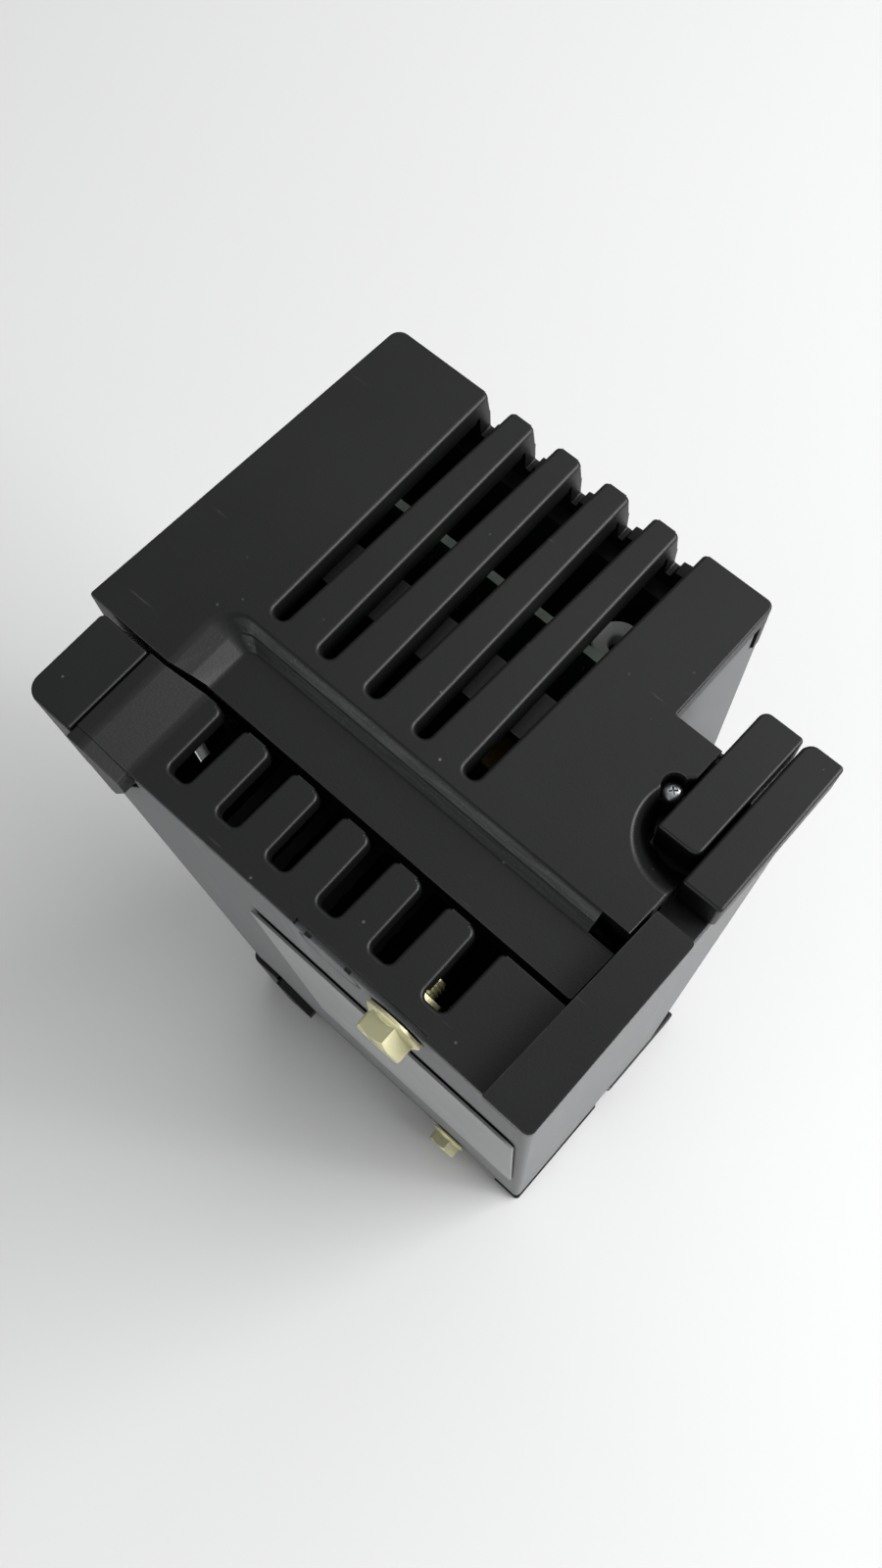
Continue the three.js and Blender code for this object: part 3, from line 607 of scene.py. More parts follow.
def dust_group():
    """Loose specks and short scuffs, mostly on faces that look up."""

    def build(tree, given, result):
        specks = tree.nodes.new("ShaderNodeTexVoronoi")
        tree.links.new(given.outputs["Speck Scale"], specks.inputs["Scale"])
        tree.links.new(object_place(tree), specks.inputs["Vector"])
        dot = ramp(tree, specks.outputs["Distance"], 0.14, 0.05)
        chosen = tree.nodes.new("ShaderNodeSeparateColor")
        tree.links.new(specks.outputs["Color"], chosen.inputs["Color"])
        few = ramp(tree, chosen.outputs["Red"], 0.86, 0.9)
        patch = ramp(tree, noise_node(tree, 30.0, 3.0), 0.42, 0.7)
        loose = math_node(tree, "MULTIPLY", math_node(tree, "MULTIPLY", dot, few), patch)
        stretched = tree.nodes.new("ShaderNodeMapping")
        stretched.inputs["Rotation"].default_value = (0, 0, 0.7)
        stretched.inputs["Scale"].default_value = (1, 14, 1)
        tree.links.new(object_place(tree), stretched.inputs["Vector"])
        lines = noise_node(tree, 90.0, 2.0, stretched.outputs["Vector"])
        scuff = math_node(tree, "MULTIPLY", ramp(tree, lines, 0.7, 0.78), patch)
        facing = facing_axes(tree)
        up = ramp(tree, facing["Z"], 0.1, 0.9)
        both = math_node(tree, "ADD", loose, math_node(tree, "MULTIPLY", scuff, 0.35))
        lying = math_node(tree, "MULTIPLY", both, up)
        scaled = math_node(tree, "MULTIPLY", lying, given.outputs["Amount"], clamp=True)
        tree.links.new(scaled, result.inputs["Mask"])

    return shader_group(
        "Dust And Scuffs",
        [("Speck Scale", "NodeSocketFloat", 420.0), ("Amount", "NodeSocketFloat", 0.5)],
        [("Mask", "NodeSocketFloat")],
        build,
    )


def brush_group():
    """Fine parallel tool marks along one axis."""

    def build(tree, given, result):
        stretched = tree.nodes.new("ShaderNodeVectorMath")
        stretched.operation = "MULTIPLY"
        tree.links.new(object_place(tree), stretched.inputs[0])
        tree.links.new(given.outputs["Stretch"], stretched.inputs[1])
        lines = noise_node(tree, 1.0, 3.0, stretched.outputs["Vector"])
        tree.links.new(lines, result.inputs["Height"])
        tree.links.new(noise_node(tree, 70.0, 4.0), result.inputs["Stain"])

    return shader_group(
        "Tool Marks",
        [("Stretch", "NodeSocketVector", (2500.0, 2500.0, 60.0))],
        [("Height", "NodeSocketFloat"), ("Stain", "NodeSocketFloat")],
        build,
    )


# ---------------------------------------------------------------- materials

class Finish:
    """A Principled material that is filled in a few strokes."""

    def __init__(self, name, base, roughness, metallic=0.0):
        self.material = bpy.data.materials.new(name)
        self.material.use_nodes = True
        self.tree = self.material.node_tree
        self.shader = self.tree.nodes["Principled BSDF"]
        self.shader.inputs["Roughness"].default_value = roughness
        self.shader.inputs["Metallic"].default_value = metallic
        base_node = self.tree.nodes.new("ShaderNodeRGB")
        base_node.outputs[0].default_value = (*base, 1)
        self.colour = base_node.outputs[0]
        self.rough = roughness
        self.rough_socket = None

    def place(self, group, **values):
        node = self.tree.nodes.new("ShaderNodeGroup")
        node.node_tree = group
        for label, value in values.items():
            node.inputs[label.replace("_", " ").title()].default_value = value
        return node

    def blend(self, mask, tint, amount=1.0):
        """Mixes a tint into the base colour by a mask."""
        mix = self.tree.nodes.new("ShaderNodeMix")
        mix.data_type = "RGBA"
        share = math_node(self.tree, "MULTIPLY", mask, amount, clamp=True)
        self.tree.links.new(share, mix.inputs["Factor"])
        self.tree.links.new(self.colour, mix.inputs["A"])
        mix.inputs["B"].default_value = (*tint, 1)
        self.colour = mix.outputs["Result"]

    def drift(self, texture, low, high, tint, amount):
        """Lets a tint come and go with the slow drift of the mould texture."""
        self.blend(ramp(self.tree, texture.outputs["Drift"], low, high), tint, amount)

    def gloss(self, mask, change):
        """Adds change to the roughness where the mask is 1."""
        start = self.rough_socket or self.rough
        step = math_node(self.tree, "MULTIPLY", mask, change)
        self.rough_socket = math_node(self.tree, "ADD", step, start, clamp=True)

    def bump(self, height, strength, distance):
        node = self.tree.nodes.new("ShaderNodeBump")
        node.inputs["Strength"].default_value = strength
        node.inputs["Distance"].default_value = distance
        self.tree.links.new(height, node.inputs["Height"])
        self.tree.links.new(node.outputs["Normal"], self.shader.inputs["Normal"])

    def done(self):
        self.tree.links.new(self.colour, self.shader.inputs["Base Color"])
        if self.rough_socket is not None:
            self.tree.links.new(self.rough_socket, self.shader.inputs["Roughness"])
        return self.material


def once(make):
    """Gives back the material of a name that is already made."""

    def given(name, *values, **more):
        return bpy.data.materials.get(name) or make(name, *values, **more)

    return given


@once
def moulded(name, base, roughness, grain=2600.0, edge_wear_and_highlight=0.6, dust=0.5, bank=False):
    """Moulded plastic with spark-eroded grain, edges made paler for rubbing and painted highlight, dust,
    and an optional painted reflection on the channel bank.
    """
    finish = Finish(name, base, roughness)
    texture = finish.place(grain_group(), grain_scale=grain)
    pale = tuple(min(1.0, c * 2.2 + 0.05) for c in base)
    finish.drift(texture, 0.35, 0.75, pale, 0.08)
    finish.gloss(texture.outputs["Drift"], 0.16)
    finish.gloss(ramp(finish.tree, texture.outputs["Height"], 0.2, 1.2), -0.08)
    rubbed = finish.place(edge_wear_and_highlight_group(), amount=edge_wear_and_highlight)
    # Paler edges: partly rubbed plastic and partly a painted highlight where rounded edges catch the light.
    finish.blend(rubbed.outputs["Mask"], pale, 0.55)
    finish.gloss(rubbed.outputs["Mask"], -0.12)
    lying = finish.place(dust_group(), amount=dust)
    finish.blend(lying.outputs["Mask"], (0.5, 0.5, 0.49), 0.8)
    finish.gloss(lying.outputs["Mask"], 0.3)
    if bank:
        # Painted reflection: the channel bank that leans to the rear is lightened.
        finish.blend(bank_sheen_mask(finish.tree), (0.075, 0.078, 0.08), 0.8)
        finish.gloss(bank_sheen_mask(finish.tree), -0.1)
    finish.bump(texture.outputs["Height"], 0.35, 0.00002)
    return finish.done()


def bank_sheen_mask(tree):
    """Painted reflection on the sloping bank of the channel, which leans to the rear, broken up by streaks
    along the bank and specks.
    """
    facing = facing_axes(tree)
    rearward = ramp(tree, facing["Y"], 0.3, 0.6)
    leaning = math_node(tree, "MULTIPLY", rearward, ramp(tree, facing["Z"], 0.3, 0.5))
    stretched = tree.nodes.new("ShaderNodeMapping")
    stretched.inputs["Scale"].default_value = (0.08, 1, 1)
    tree.links.new(object_place(tree), stretched.inputs["Vector"])
    streaks = ramp(tree, noise_node(tree, 2200.0, 3.0, stretched.outputs["Vector"]), 0.3, 0.7)
    specks = ramp(tree, noise_node(tree, 1900.0, 2.0), 0.62, 0.72)
    marks = math_node(tree, "ADD", math_node(tree, "MULTIPLY", streaks, 0.5), specks, clamp=True)
    return math_node(tree, "MULTIPLY", leaning, math_node(tree, "ADD", marks, 0.3, clamp=True))


@once
def metal(name, base, roughness=0.35, stretch=(2500.0, 2500.0, 60.0)):
    """Bare or plated metal with tool marks and stains."""
    finish = Finish(name, base, roughness, metallic=1.0)
    marks = finish.place(brush_group(), stretch=stretch)
    dull = tuple(c * 0.6 for c in base)
    finish.blend(ramp(finish.tree, marks.outputs["Stain"], 0.45, 0.75), dull, 0.5)
    finish.gloss(marks.outputs["Stain"], 0.2)
    rubbed = finish.place(edge_wear_and_highlight_group(), amount=0.3, reach=0.0003)
    finish.blend(rubbed.outputs["Mask"], tuple(min(1.0, c * 1.3) for c in base), 0.7)
    finish.bump(marks.outputs["Height"], 0.25, 0.00003)
    return finish.done()


def black_moulding():
    black = tuple(colours().black)
    # A strong paler-edge amount: painted edge highlights along with rubbed plastic.
    return moulded("satin_black_moulding", black, 0.42, edge_wear_and_highlight=0.75, dust=0.55, bank=True)


def module_resin():
    return moulded("dark_module_resin", tuple(colours().resin), 0.35, 1600.0, edge_wear_and_highlight=0.3, dust=0.6)


def corner_moulding():
    return moulded("corner_black_moulding", tuple(colours().corner), 0.38, edge_wear_and_highlight=0.5, dust=0.35)


@cache
def chassis_sheet():
    """Powder coat: orange-peel bump, faint streaks down the wall, paler edges and a ring of painted shade
    round each earth screw flange.
    """
    finish = Finish("powder_coated_sheet", tuple(colours().sheet), 0.55)
    texture = finish.place(grain_group(), grain_scale=1500.0, drift_scale=14.0)
    finish.drift(texture, 0.3, 0.8, (0.22, 0.225, 0.23), 0.35)
    marks = finish.place(brush_group(), stretch=(300.0, 300.0, 12.0))
    finish.blend(ramp(finish.tree, marks.outputs["Height"], 0.55, 0.8), (0.36, 0.365, 0.37), 0.25)
    finish.gloss(texture.outputs["Drift"], 0.15)
    rubbed = finish.place(edge_wear_and_highlight_group(), amount=0.7, reach=0.0008)
    finish.blend(rubbed.outputs["Mask"], (0.46, 0.47, 0.48), 0.6)
    # Painted shade where each earth screw's flange meets the rear wall.
    finish.blend(flange_shade_ring(finish.tree), (0.02, 0.02, 0.021), 0.9)
    finish.bump(texture.outputs["Height"], 0.3, 0.00005)
    return finish.done()


def flange_shade_ring(tree):
    """A ring of painted shade round the flange of each earth screw, on the rear wall."""
    across_wall, depth, level = tree_axes(tree)
    side = math_node(tree, "SUBTRACT", across_wall, plan(38.9, 0)[0])
    from_middle = math_node(tree, "ABSOLUTE", math_node(tree, "SUBTRACT", level, HEIGHT / 2))
    rise = math_node(tree, "SUBTRACT", from_middle, HEIGHT / 2 - 9.5 * MM)
    squares = [math_node(tree, "MULTIPLY", reach, reach) for reach in (side, rise)]
    far = math_node(tree, "SQRT", math_node(tree, "ADD", *squares))
    away = math_node(tree, "ABSOLUTE", math_node(tree, "SUBTRACT", far, 5.8 * MM))
    line = ramp(tree, away, 0.5 * MM, 0.35 * MM)
    return math_node(tree, "MULTIPLY", line, ramp(tree, depth, REAR - 1.2 * MM, REAR - 0.8 * MM))


def tree_axes(tree):
    axes = tree.nodes.new("ShaderNodeSeparateXYZ")
    tree.links.new(object_place(tree), axes.inputs["Vector"])
    return axes.outputs["X"], axes.outputs["Y"], axes.outputs["Z"]


@cache
def housing_grey():
    """Light grey moulding with painted shade on its inner face."""
    finish = Finish("housing_grey_moulding", tuple(colours().housing), 0.5)
    texture = finish.place(grain_group(), grain_scale=1900.0, drift_scale=18.0)
    finish.drift(texture, 0.3, 0.8, (0.19, 0.193, 0.196), 0.3)
    rubbed = finish.place(edge_wear_and_highlight_group(), amount=0.6)
    finish.blend(rubbed.outputs["Mask"], (0.5, 0.51, 0.51), 0.5)
    # Painted shade on the faces that look into the closed housing and on its hidden rims.
    shade = finish.tree.nodes.new("ShaderNodeAttribute")
    shade.attribute_name = "inner_shade"
    finish.blend(shade.outputs["Fac"], tuple(colours().inside))
    finish.gloss(texture.outputs["Drift"], 0.12)
    finish.bump(texture.outputs["Height"], 0.3, 0.00003)
    return finish.done()


@cache
def label_film():
    """Blank film: smooth, with a slow drift of tone and handling marks."""
    finish = Finish("blank_label_film", tuple(colours().label), 0.36)
    texture = finish.place(grain_group(), grain_scale=900.0, drift_scale=30.0)
    finish.drift(texture, 0.35, 0.75, (0.47, 0.475, 0.47), 0.4)
    lying = finish.place(dust_group(), amount=0.6)
    finish.blend(lying.outputs["Mask"], (0.3, 0.3, 0.29), 0.5)
    finish.gloss(texture.outputs["Drift"], 0.25)
    finish.bump(texture.outputs["Drift"], 0.2, 0.0001)
    return finish.done()


@cache
def circuit_board():
    """Solder mask over copper: darker mask between traces, glass weave and pale cut edges."""
    finish = Finish("green_circuit_board", tuple(colours().board), 0.32)
    tree = finish.tree
    bricks = tree.nodes.new("ShaderNodeTexBrick")
    turned_place = tree.nodes.new("ShaderNodeMapping")
    turned_place.inputs["Rotation"].default_value = (math.pi / 2, 0, 0)
    tree.links.new(object_place(tree), turned_place.inputs["Vector"])
    tree.links.new(turned_place.outputs["Vector"], bricks.inputs["Vector"])
    bricks.inputs["Scale"].default_value = 130.0
    bricks.inputs["Mortar Size"].default_value = 0.028
    bricks.inputs["Brick Width"].default_value = 0.9
    bricks.inputs["Row Height"].default_value = 0.16
    bricks.offset_frequency = 3
    finish.blend(math_node(tree, "SUBTRACT", 1.0, bricks.outputs["Fac"]), (0.03, 0.17, 0.09), 0.55)
    texture = finish.place(grain_group(), grain_scale=2200.0, drift_scale=60.0)
    finish.drift(texture, 0.4, 0.7, (0.006, 0.035, 0.02), 0.5)
    facing = facing_axes(tree)
    cut_edge = math_node(tree, "SUBTRACT", 1.0, math_node(tree, "ABSOLUTE", facing["Y"]), clamp=True)
    finish.blend(ramp(tree, cut_edge, 0.4, 0.8), (0.56, 0.62, 0.56), 0.9)
    finish.gloss(texture.outputs["Drift"], 0.2)
    finish.bump(bricks.outputs["Fac"], 0.4, 0.00006)
    return finish.done()


@once
def glossy_coat(name, base, roughness=0.22):
    """Dipped or moulded component case with a skin of epoxy."""
    finish = Finish(name, base, roughness)
    finish.shader.inputs["Coat Weight"].default_value = 0.3
    finish.shader.inputs["Coat Roughness"].default_value = 0.12
    texture = finish.place(grain_group(), grain_scale=500.0, drift_scale=90.0)
    finish.drift(texture, 0.35, 0.75, tuple(c * 0.6 for c in base), 0.5)
    finish.gloss(texture.outputs["Drift"], 0.15)
    finish.bump(texture.outputs["Height"], 0.3, 0.00008)
    return finish.done()


@once
def porous(name, base, roughness=0.75, scale=1400.0):
    """Ceramic, ferrite or silicone with an open grain."""
    finish = Finish(name, base, roughness)
    texture = finish.place(grain_group(), grain_scale=scale, drift_scale=120.0)
    finish.drift(texture, 0.35, 0.7, tuple(c * 0.7 for c in base), 0.6)
    finish.gloss(texture.outputs["Drift"], 0.12)
    finish.bump(texture.outputs["Height"], 0.45, 0.00006)
    return finish.done()


@cache
def light_pipe():
    """Clear pipe with fine inner haze."""
    finish = Finish("clear_light_pipe", (0.78, 0.9, 0.8), 0.15)
    finish.shader.inputs["Transmission Weight"].default_value = 0.6
    finish.shader.inputs["IOR"].default_value = 1.49
    texture = finish.place(grain_group(), grain_scale=800.0, drift_scale=200.0)
    finish.drift(texture, 0.3, 0.7, (0.6, 0.75, 0.62), 0.5)
    finish.bump(texture.outputs["Height"], 0.2, 0.00003)
    return finish.done()


@cache
def yellow_zinc():
    """Passivated zinc: pale green-yellow with iridescent drift and dark rubbed spots."""
    finish = Finish("yellow_zinc_plate", tuple(colours().zinc), 0.3, metallic=0.85)
    marks = finish.place(brush_group(), stretch=(600.0, 600.0, 600.0))
    finish.blend(ramp(finish.tree, marks.outputs["Stain"], 0.35, 0.65), (0.62, 0.55, 0.36), 0.45)
    finish.blend(ramp(finish.tree, marks.outputs["Height"], 0.6, 0.75), (0.85, 0.86, 0.75), 0.5)
    finish.gloss(marks.outputs["Stain"], 0.25)
    finish.bump(marks.outputs["Height"], 0.3, 0.00005)
    return finish.done()


# ---------------------------------------------------------------- cover

VENT_STARTS = (36.95, 46.75, 56.55, 66.35, 76.15)
VENT_BACK = 33
VENT_SILL = 6
VENT_DEEP = 8.8
VENT_SLIT = 1.2
FRONT = 84
BAY_SIDE = 23.5
BAY_BACK = 60.3
STRIP = 8.2
SEAM = 18.4
COVER_REAR = 16.7
SKIRT = 12
POCKET_LEVEL = 9
POCKET_RINGS = (
    (9, 10.6, 50.2, 6.0), (8.4, 10.55, 50.0, 6.5), (4, 10.0, 48.7, 7.7), (1.6, 9.75, 48.0, 8.3),
    (0.5, 9.6, 47.6, 8.75), (0.15, 9.5, 47.4, 9.15), (0, 9.4, 47.3, 9.6), (-1, 9.4, 47.3, 9.6),
)
POCKET_SCREW = (16.7, 51.5, 1.7)
SCREW_SEAT = 4.2
VENT_LIP = 0.75
COMB_LIP = 0.65
H = HEIGHT / MM


def lip(radius):
    """How far down and how far out a tool for a rounded edge reaches, step by step."""
    steps = 3
    turns = [math.pi / 2 * k / steps for k in range(steps + 1)]
    quarter = [(radius * (1 - math.sin(turn)), radius * (1 - math.cos(turn))) for turn in turns]
    return [*quarter, (-1, radius)]


def arc(left, rear, radius, first, last):
    """Plan points of an arc about a centre, between two angles in degrees."""
    pieces = 6
    turns = [math.radians(first + (last - first) * k / pieces) for k in range(pieces + 1)]
    reach = max(radius, 0.05)
    return [(left + reach * math.cos(turn), rear + reach * math.sin(turn)) for turn in turns]


def channel_tool():
    """The sunken channel: a floor, sloping banks with a fine ridge half way, and a rounded corner."""
    depth = sizes().channel_depth / MM
    levels = [
        (depth, 27.0, 80.0, 1.6),
        (depth - 0.15, 27.35, 80.7, 1.9),
        (1.62, 28.45, 83.1, 3.0),
        (1.55, 28.75, 83.6, 3.2),
        (0.3, 29.75, 86.0, 4.6),
        (0.08, 30.15, 86.8, 5.0),
        (0.0, 30.5, 87.5, 5.3),
        (-1.0, 30.5, 87.5, 5.3),
    ]
    rings = []
    for down, front, right, radius in levels:
        outline = plan_outline([(0, 0), (right, 0), (right, front, radius), (0, front)])
        rings.append([(x, y, top(down)) for x, y in outline])
    return loft("channel_tool", rings)


def vent_tools(start):
    """One vent: a slot that widens to the front between round-cornered bars, and its turn down."""
    end = start + sizes().vent_width / MM
    taper = sizes().vent_taper / MM
    right, left = 1.0, 0.8
    rings = []
    for level, lean in ((sizes().cover_plate / MM + 0.6, -0.3), *lip(VENT_LIP)):
        outline = plan_outline([
            (start + taper - lean, VENT_BACK - lean, 1.25 + lean),
            (end + lean, VENT_BACK - lean, 1.25 + lean),
            *arc(end + right, FRONT - right, right - lean, 180, 90),
            (end + right, FRONT + 2), (start - left, FRONT + 2),
            *arc(start - left, FRONT - left, left - lean, 90, 0),
        ])
        rings.append([(x, y, top(level)) for x, y in outline])
    down = across(
        "vent_drop_tool",
        [
            (start, H + 1), (end, H + 1), (end, H - VENT_DEEP, 0.3),
            (end - VENT_SLIT, H - VENT_DEEP, 0.3), (end - VENT_SLIT - 0.5, H - VENT_SILL - 0.8, 0.4),
            (start, H - VENT_SILL, 0.6),
        ],
        FRONT - 3.6, FRONT + 2,
    )
    return [loft("vent_tool", rings), down]


def pocket_tool():
    """The round scoop round the pocket screw: steep on the right, easier towards the rear."""
    sides = 72
    rings = []
    for down, left, rear, radius in POCKET_RINGS:
        x, y = plan(left, rear)
        rings.append([
            (
                x + radius * MM * math.cos(math.tau * i / sides),
                y + radius * MM * math.sin(math.tau * i / sides),
                top(down),
            )
            for i in range(sides)
        ])
    return loft("pocket_tool", rings)


def cover_body():
    """Cover plate with skirts, channel floor, cross rib under the vent bars and screw pocket."""
    plate = sizes().cover_plate / MM
    wall = 2.5
    body = upright(
        "cover_body",
        [
            (BAY_SIDE, FRONT, 1.4), (101, FRONT, 2.2), (104.5, COVER_REAR, 0.6), (87, COVER_REAR),
            (81, SEAM), (STRIP, SEAM), (STRIP - 0.8, 36.2), (STRIP - 0.8, BAY_BACK),
            (BAY_SIDE, BAY_BACK, 0.4),
        ],
        top(SKIRT), top(0),
    )
    soften(body, sizes().moulding_edge, 4)
    hollow = upright(
        "hollow_tool",
        [
            (0, SEAM - 5), (89, SEAM - 5), (89, COVER_REAR + wall), (101.9, COVER_REAR + wall, 1),
            (98.4, FRONT - wall, 1), (BAY_SIDE - 1, FRONT - wall), (BAY_SIDE - 1, BAY_BACK + 1),
            (0, BAY_BACK + 1),
        ],
        top(SKIRT + 1), top(plate),
    )
    carve(body, [hollow])
    floor_low = H - sizes().channel_depth / MM - 3
    pocket_low = H - POCKET_LEVEL - 2.5
    additions = [
        cuboid("channel_floor", STRIP + 0.2, 88, SEAM + 0.2, 33, floor_low, H - 2),
        cuboid("cross_rib", 33, 84, 43.6, 51.8, H - plate - 4, H - plate + 0.5),
        cuboid("pocket_block", STRIP - 0.8, 21, 38, BAY_BACK - 0.5, pocket_low, H - 1),
        cuboid("pocket_floor", 0.8, 10, 36.2, BAY_BACK - 0.5, pocket_low, H - POCKET_LEVEL),
    ]
    carve(body, additions, "UNION")
    screw_left, screw_rear, screw_radius = POCKET_SCREW
    drop = (POCKET_LEVEL + 1) * MM
    tools = [
        channel_tool(),
        cuboid("drain_tool", STRIP - 1, 12.6, 27.4, 30.4, floor_low - 1, H + 1),
        pocket_tool(),
        rod(
            "screw_recess", (*plan(screw_left, screw_rear), top(SCREW_SEAT)), (0, 0, 1),
            (screw_radius + 0.4) * MM, drop, 40,
        ),
        upright(
            "finger_bed",
            [(-1, 44.8), (15.25, 44.8), (14.95, BAY_BACK + 1), (-1, BAY_BACK + 1)],
            top(POCKET_LEVEL), top(-1),
        ),
    ]
    for start in VENT_STARTS:
        tools += vent_tools(start)
    carve(body, tools)
    boss = rod(
        "screw_boss", (*plan(screw_left, screw_rear), pocket_low * MM), (0, 0, 1),
        screw_radius * MM, (POCKET_LEVEL + 2.5 - SCREW_SEAT) * MM, 40,
    )
    carve(body, [boss], "UNION")
    hole = rod(
        "screw_hole", (*plan(screw_left, screw_rear), (pocket_low - 1) * MM), (0, 0, 1),
        1.3 * MM, drop, 24,
    )
    carve(body, [hole])
    return tidy_faces(body, math.radians(0.2))


class RELAY_OT_covers(bpy.types.Operator):
    """Build the upper and lower vented covers"""

    bl_idname = "relay.covers"
    bl_label = "Vented Covers"

    def execute(self, context):
        stand_pair(cover_body(), "cover", sizes().small_edge, black_moulding)
        return {"FINISHED"}


# ---------------------------------------------------------------- fin guard, blocks and fingers

COMB_FIRST = 19.95
COMB_PITCH = 10.35
COMB_SLOTS = 6
COMB_SLOT = 4.5
COMB_BACK = 4.9
GUARD_FRONT = 17.3
CHEEK_END = 90
CHEEK_FRONT = 16
CORNER_HEIGHT = 28


def guard_body():
    """L-shaped guard: slotted comb with a ramp and a deep cheek, and the strip down the left side."""
    depth = sizes().channel_depth / MM
    low = H - depth - 3
    body = across(
        "guard_body",
        [
            (3, low), (CHEEK_END, low), (CHEEK_END, H, 0.4), (87, H, 3), (80, H - depth, 3),
            (3, H - depth),
        ],
        0.5, GUARD_FRONT,
    )
    strip = upright(
        "guard_strip", [(0, 0, 1.2), (8.5, 0), (7, 35.5, 0.3), (0, 35.5, 0.9)], top(5), top(0),
    )
    cheek = across(
        "guard_cheek",
        [
            (80, H - depth - 0.4, 1), (87, H - 0.2, 3), (CHEEK_END, H - 0.2, 0.4),
            (CHEEK_END, H - CORNER_HEIGHT, 0.6), (80, H - 8, 2),
        ],
        -1.8, 2.3,
    )
    carve(body, [strip, cheek], "UNION")
    soften(tidy_faces(body), sizes().moulding_edge)
    nut_left, nut_right = span("upper_earth_nut")[:2]
    tools = [
        cuboid("side_relief", -1, 2.2, -1, 37, low - 1, H - 2.5),
        cuboid("rear_relief", -1, 79.8, -1, 2.2, low - 1, H - 5),
        cuboid("set_back", 19.8, 45.4, -1, 1.4, low - 1, H + 1),
        cuboid("nut_relief", nut_left - 1, nut_right + 1, 1.5, 6.5, low - 1, H - 5),
        upright(
            "cheek_relief",
            [
                (80, GUARD_FRONT), (87, CHEEK_FRONT), (CHEEK_END + 1, CHEEK_FRONT),
                (CHEEK_END + 1, GUARD_FRONT + 1), (80, GUARD_FRONT + 1),
            ],
            (low - 1) * MM, top(-1),
        ),
    ]
    for i in range(COMB_SLOTS):
        start = COMB_FIRST + i * COMB_PITCH
        end = start + COMB_SLOT
        right, left = 1.5, 1.0
        rings = []
        for level, lean in ((3.2, -0.1), *lip(COMB_LIP)):
            outline = plan_outline([
                (start + 0.35 - lean, COMB_BACK - lean, 1.2 + lean),
                (end + lean, COMB_BACK - lean, 1.2 + lean),
                *arc(end + right, GUARD_FRONT - right, right - lean, 180, 90),
                (end + right, GUARD_FRONT + 2), (start - left, GUARD_FRONT + 2),
                *arc(start - left, GUARD_FRONT - left, left - lean, 90, 0),
            ])
            rings.append([(x, y, top(depth + level)) for x, y in outline])
        tools.append(loft("comb_tool", rings))
    carve(body, tools)
    return tidy_faces(body, math.radians(0.2))


class RELAY_OT_fin_guards(bpy.types.Operator):
    """Build the slotted guards over the heat sink's fins"""

    bl_idname = "relay.fin_guards"
    bl_label = "Fin Guards"

    def execute(self, context):
        stand_pair(guard_body(), "fin_guard", sizes().small_edge, black_moulding)
        return {"FINISHED"}


class RELAY_OT_corner_blocks(bpy.types.Operator):
    """Build the corner blocks, with a rounded rear corner"""

    bl_idname = "relay.corner_blocks"
    bl_label = "Corner Blocks"

    def execute(self, context):
        upper = upright(
            "upper_corner_moulding",
            [(90.35, -1, 0.5), (100.5, -1, 3), (100.5, 15.9, 1), (90.35, 15.9, 0.5)],
            top(CORNER_HEIGHT), top(0),
        )
        stand_pair(tidy_faces(upper), "corner_block", sizes().moulding_edge, corner_moulding, "corner")
        return {"FINISHED"}


FINGERS = {
    "outer_finger": [(0, 41, 0.8), (7.1, 41, 0.6), (6.5, 69.8, 1.9), (0, 69.8, 0.7)],
    "inner_finger": [(7.6, 45.2, 1.5), (14.9, 45.2, 0.5), (14.3, 69.5, 1.5), (7, 69.5, 0.7)],
}
FINGER_HEIGHT = 8.6


class RELAY_OT_guard_fingers(bpy.types.Operator):
    """Build the guard fingers that overhang the terminal bay"""

    bl_idname = "relay.guard_fingers"
    bl_label = "Guard Fingers"

    def execute(self, context):
        for name, corners in FINGERS.items():
            upper = upright(f"upper_{name}_moulding", corners, top(FINGER_HEIGHT), top(0))
            stand_pair(tidy_faces(upper), name, sizes().moulding_edge * 1.1, black_moulding)
        return {"FINISHED"}


# ---------------------------------------------------------------- chassis, housing and label

class RELAY_OT_chassis(bpy.types.Operator):
    """Build the folded sheet chassis with rounded folds"""

    bl_idname = "relay.chassis"
    bl_label = "Chassis Sheet"

    def execute(self, context):
        piece = from_frame("rear_chassis", "rear_chassis_sheet")
        low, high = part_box("rear_chassis")
        work = bmesh.new()
        work.from_mesh(piece.data)
        weights = work.edges.layers.float.new("bevel_weight_edge")
        for edge in work.edges:
            ends = [vert.co for vert in edge.verts]
            rises = abs(ends[0].z - ends[1].z) > 20 * MM
            at_rear = all(abs(end.y - high.y) < 0.2 * MM for end in ends)
            at_side = all(min(abs(end.x - low.x), abs(end.x - high.x)) < 0.2 * MM for end in ends)
            if rises and at_rear and at_side:
                edge[weights] = 1.0
        work.to_mesh(piece.data)
        work.free()
        fold = piece.modifiers.new("fold", "BEVEL")
        fold.limit_method = "WEIGHT"
        fold.width = 1.6 * MM
        fold.segments = 6
        plain_mesh(piece)
        tidy_faces(piece)
        soften(piece, sizes().small_edge)
        stand_for(piece, ["rear_chassis"], chassis_sheet())
        return {"FINISHED"}


def mark_shaded_inner_faces(piece):
    """Marks, for painted shade, the faces that look into the closed part of the housing, and its hidden
    rims.
    """
    low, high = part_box("control_board")
    middle = Vector(((low.x + high.x) / 2, (low.y + high.y) / 2 + 10 * MM))
    layer = piece.data.attributes.new("inner_shade", "FLOAT", "FACE")
    for face in piece.data.polygons:
        towards = middle - face.center.xy
        facing = face.normal.xy.dot(towards.normalized())
        layer.data[face.index].value = 1.0 if facing > 0.3 or abs(face.normal.z) > 0.5 else 0.0


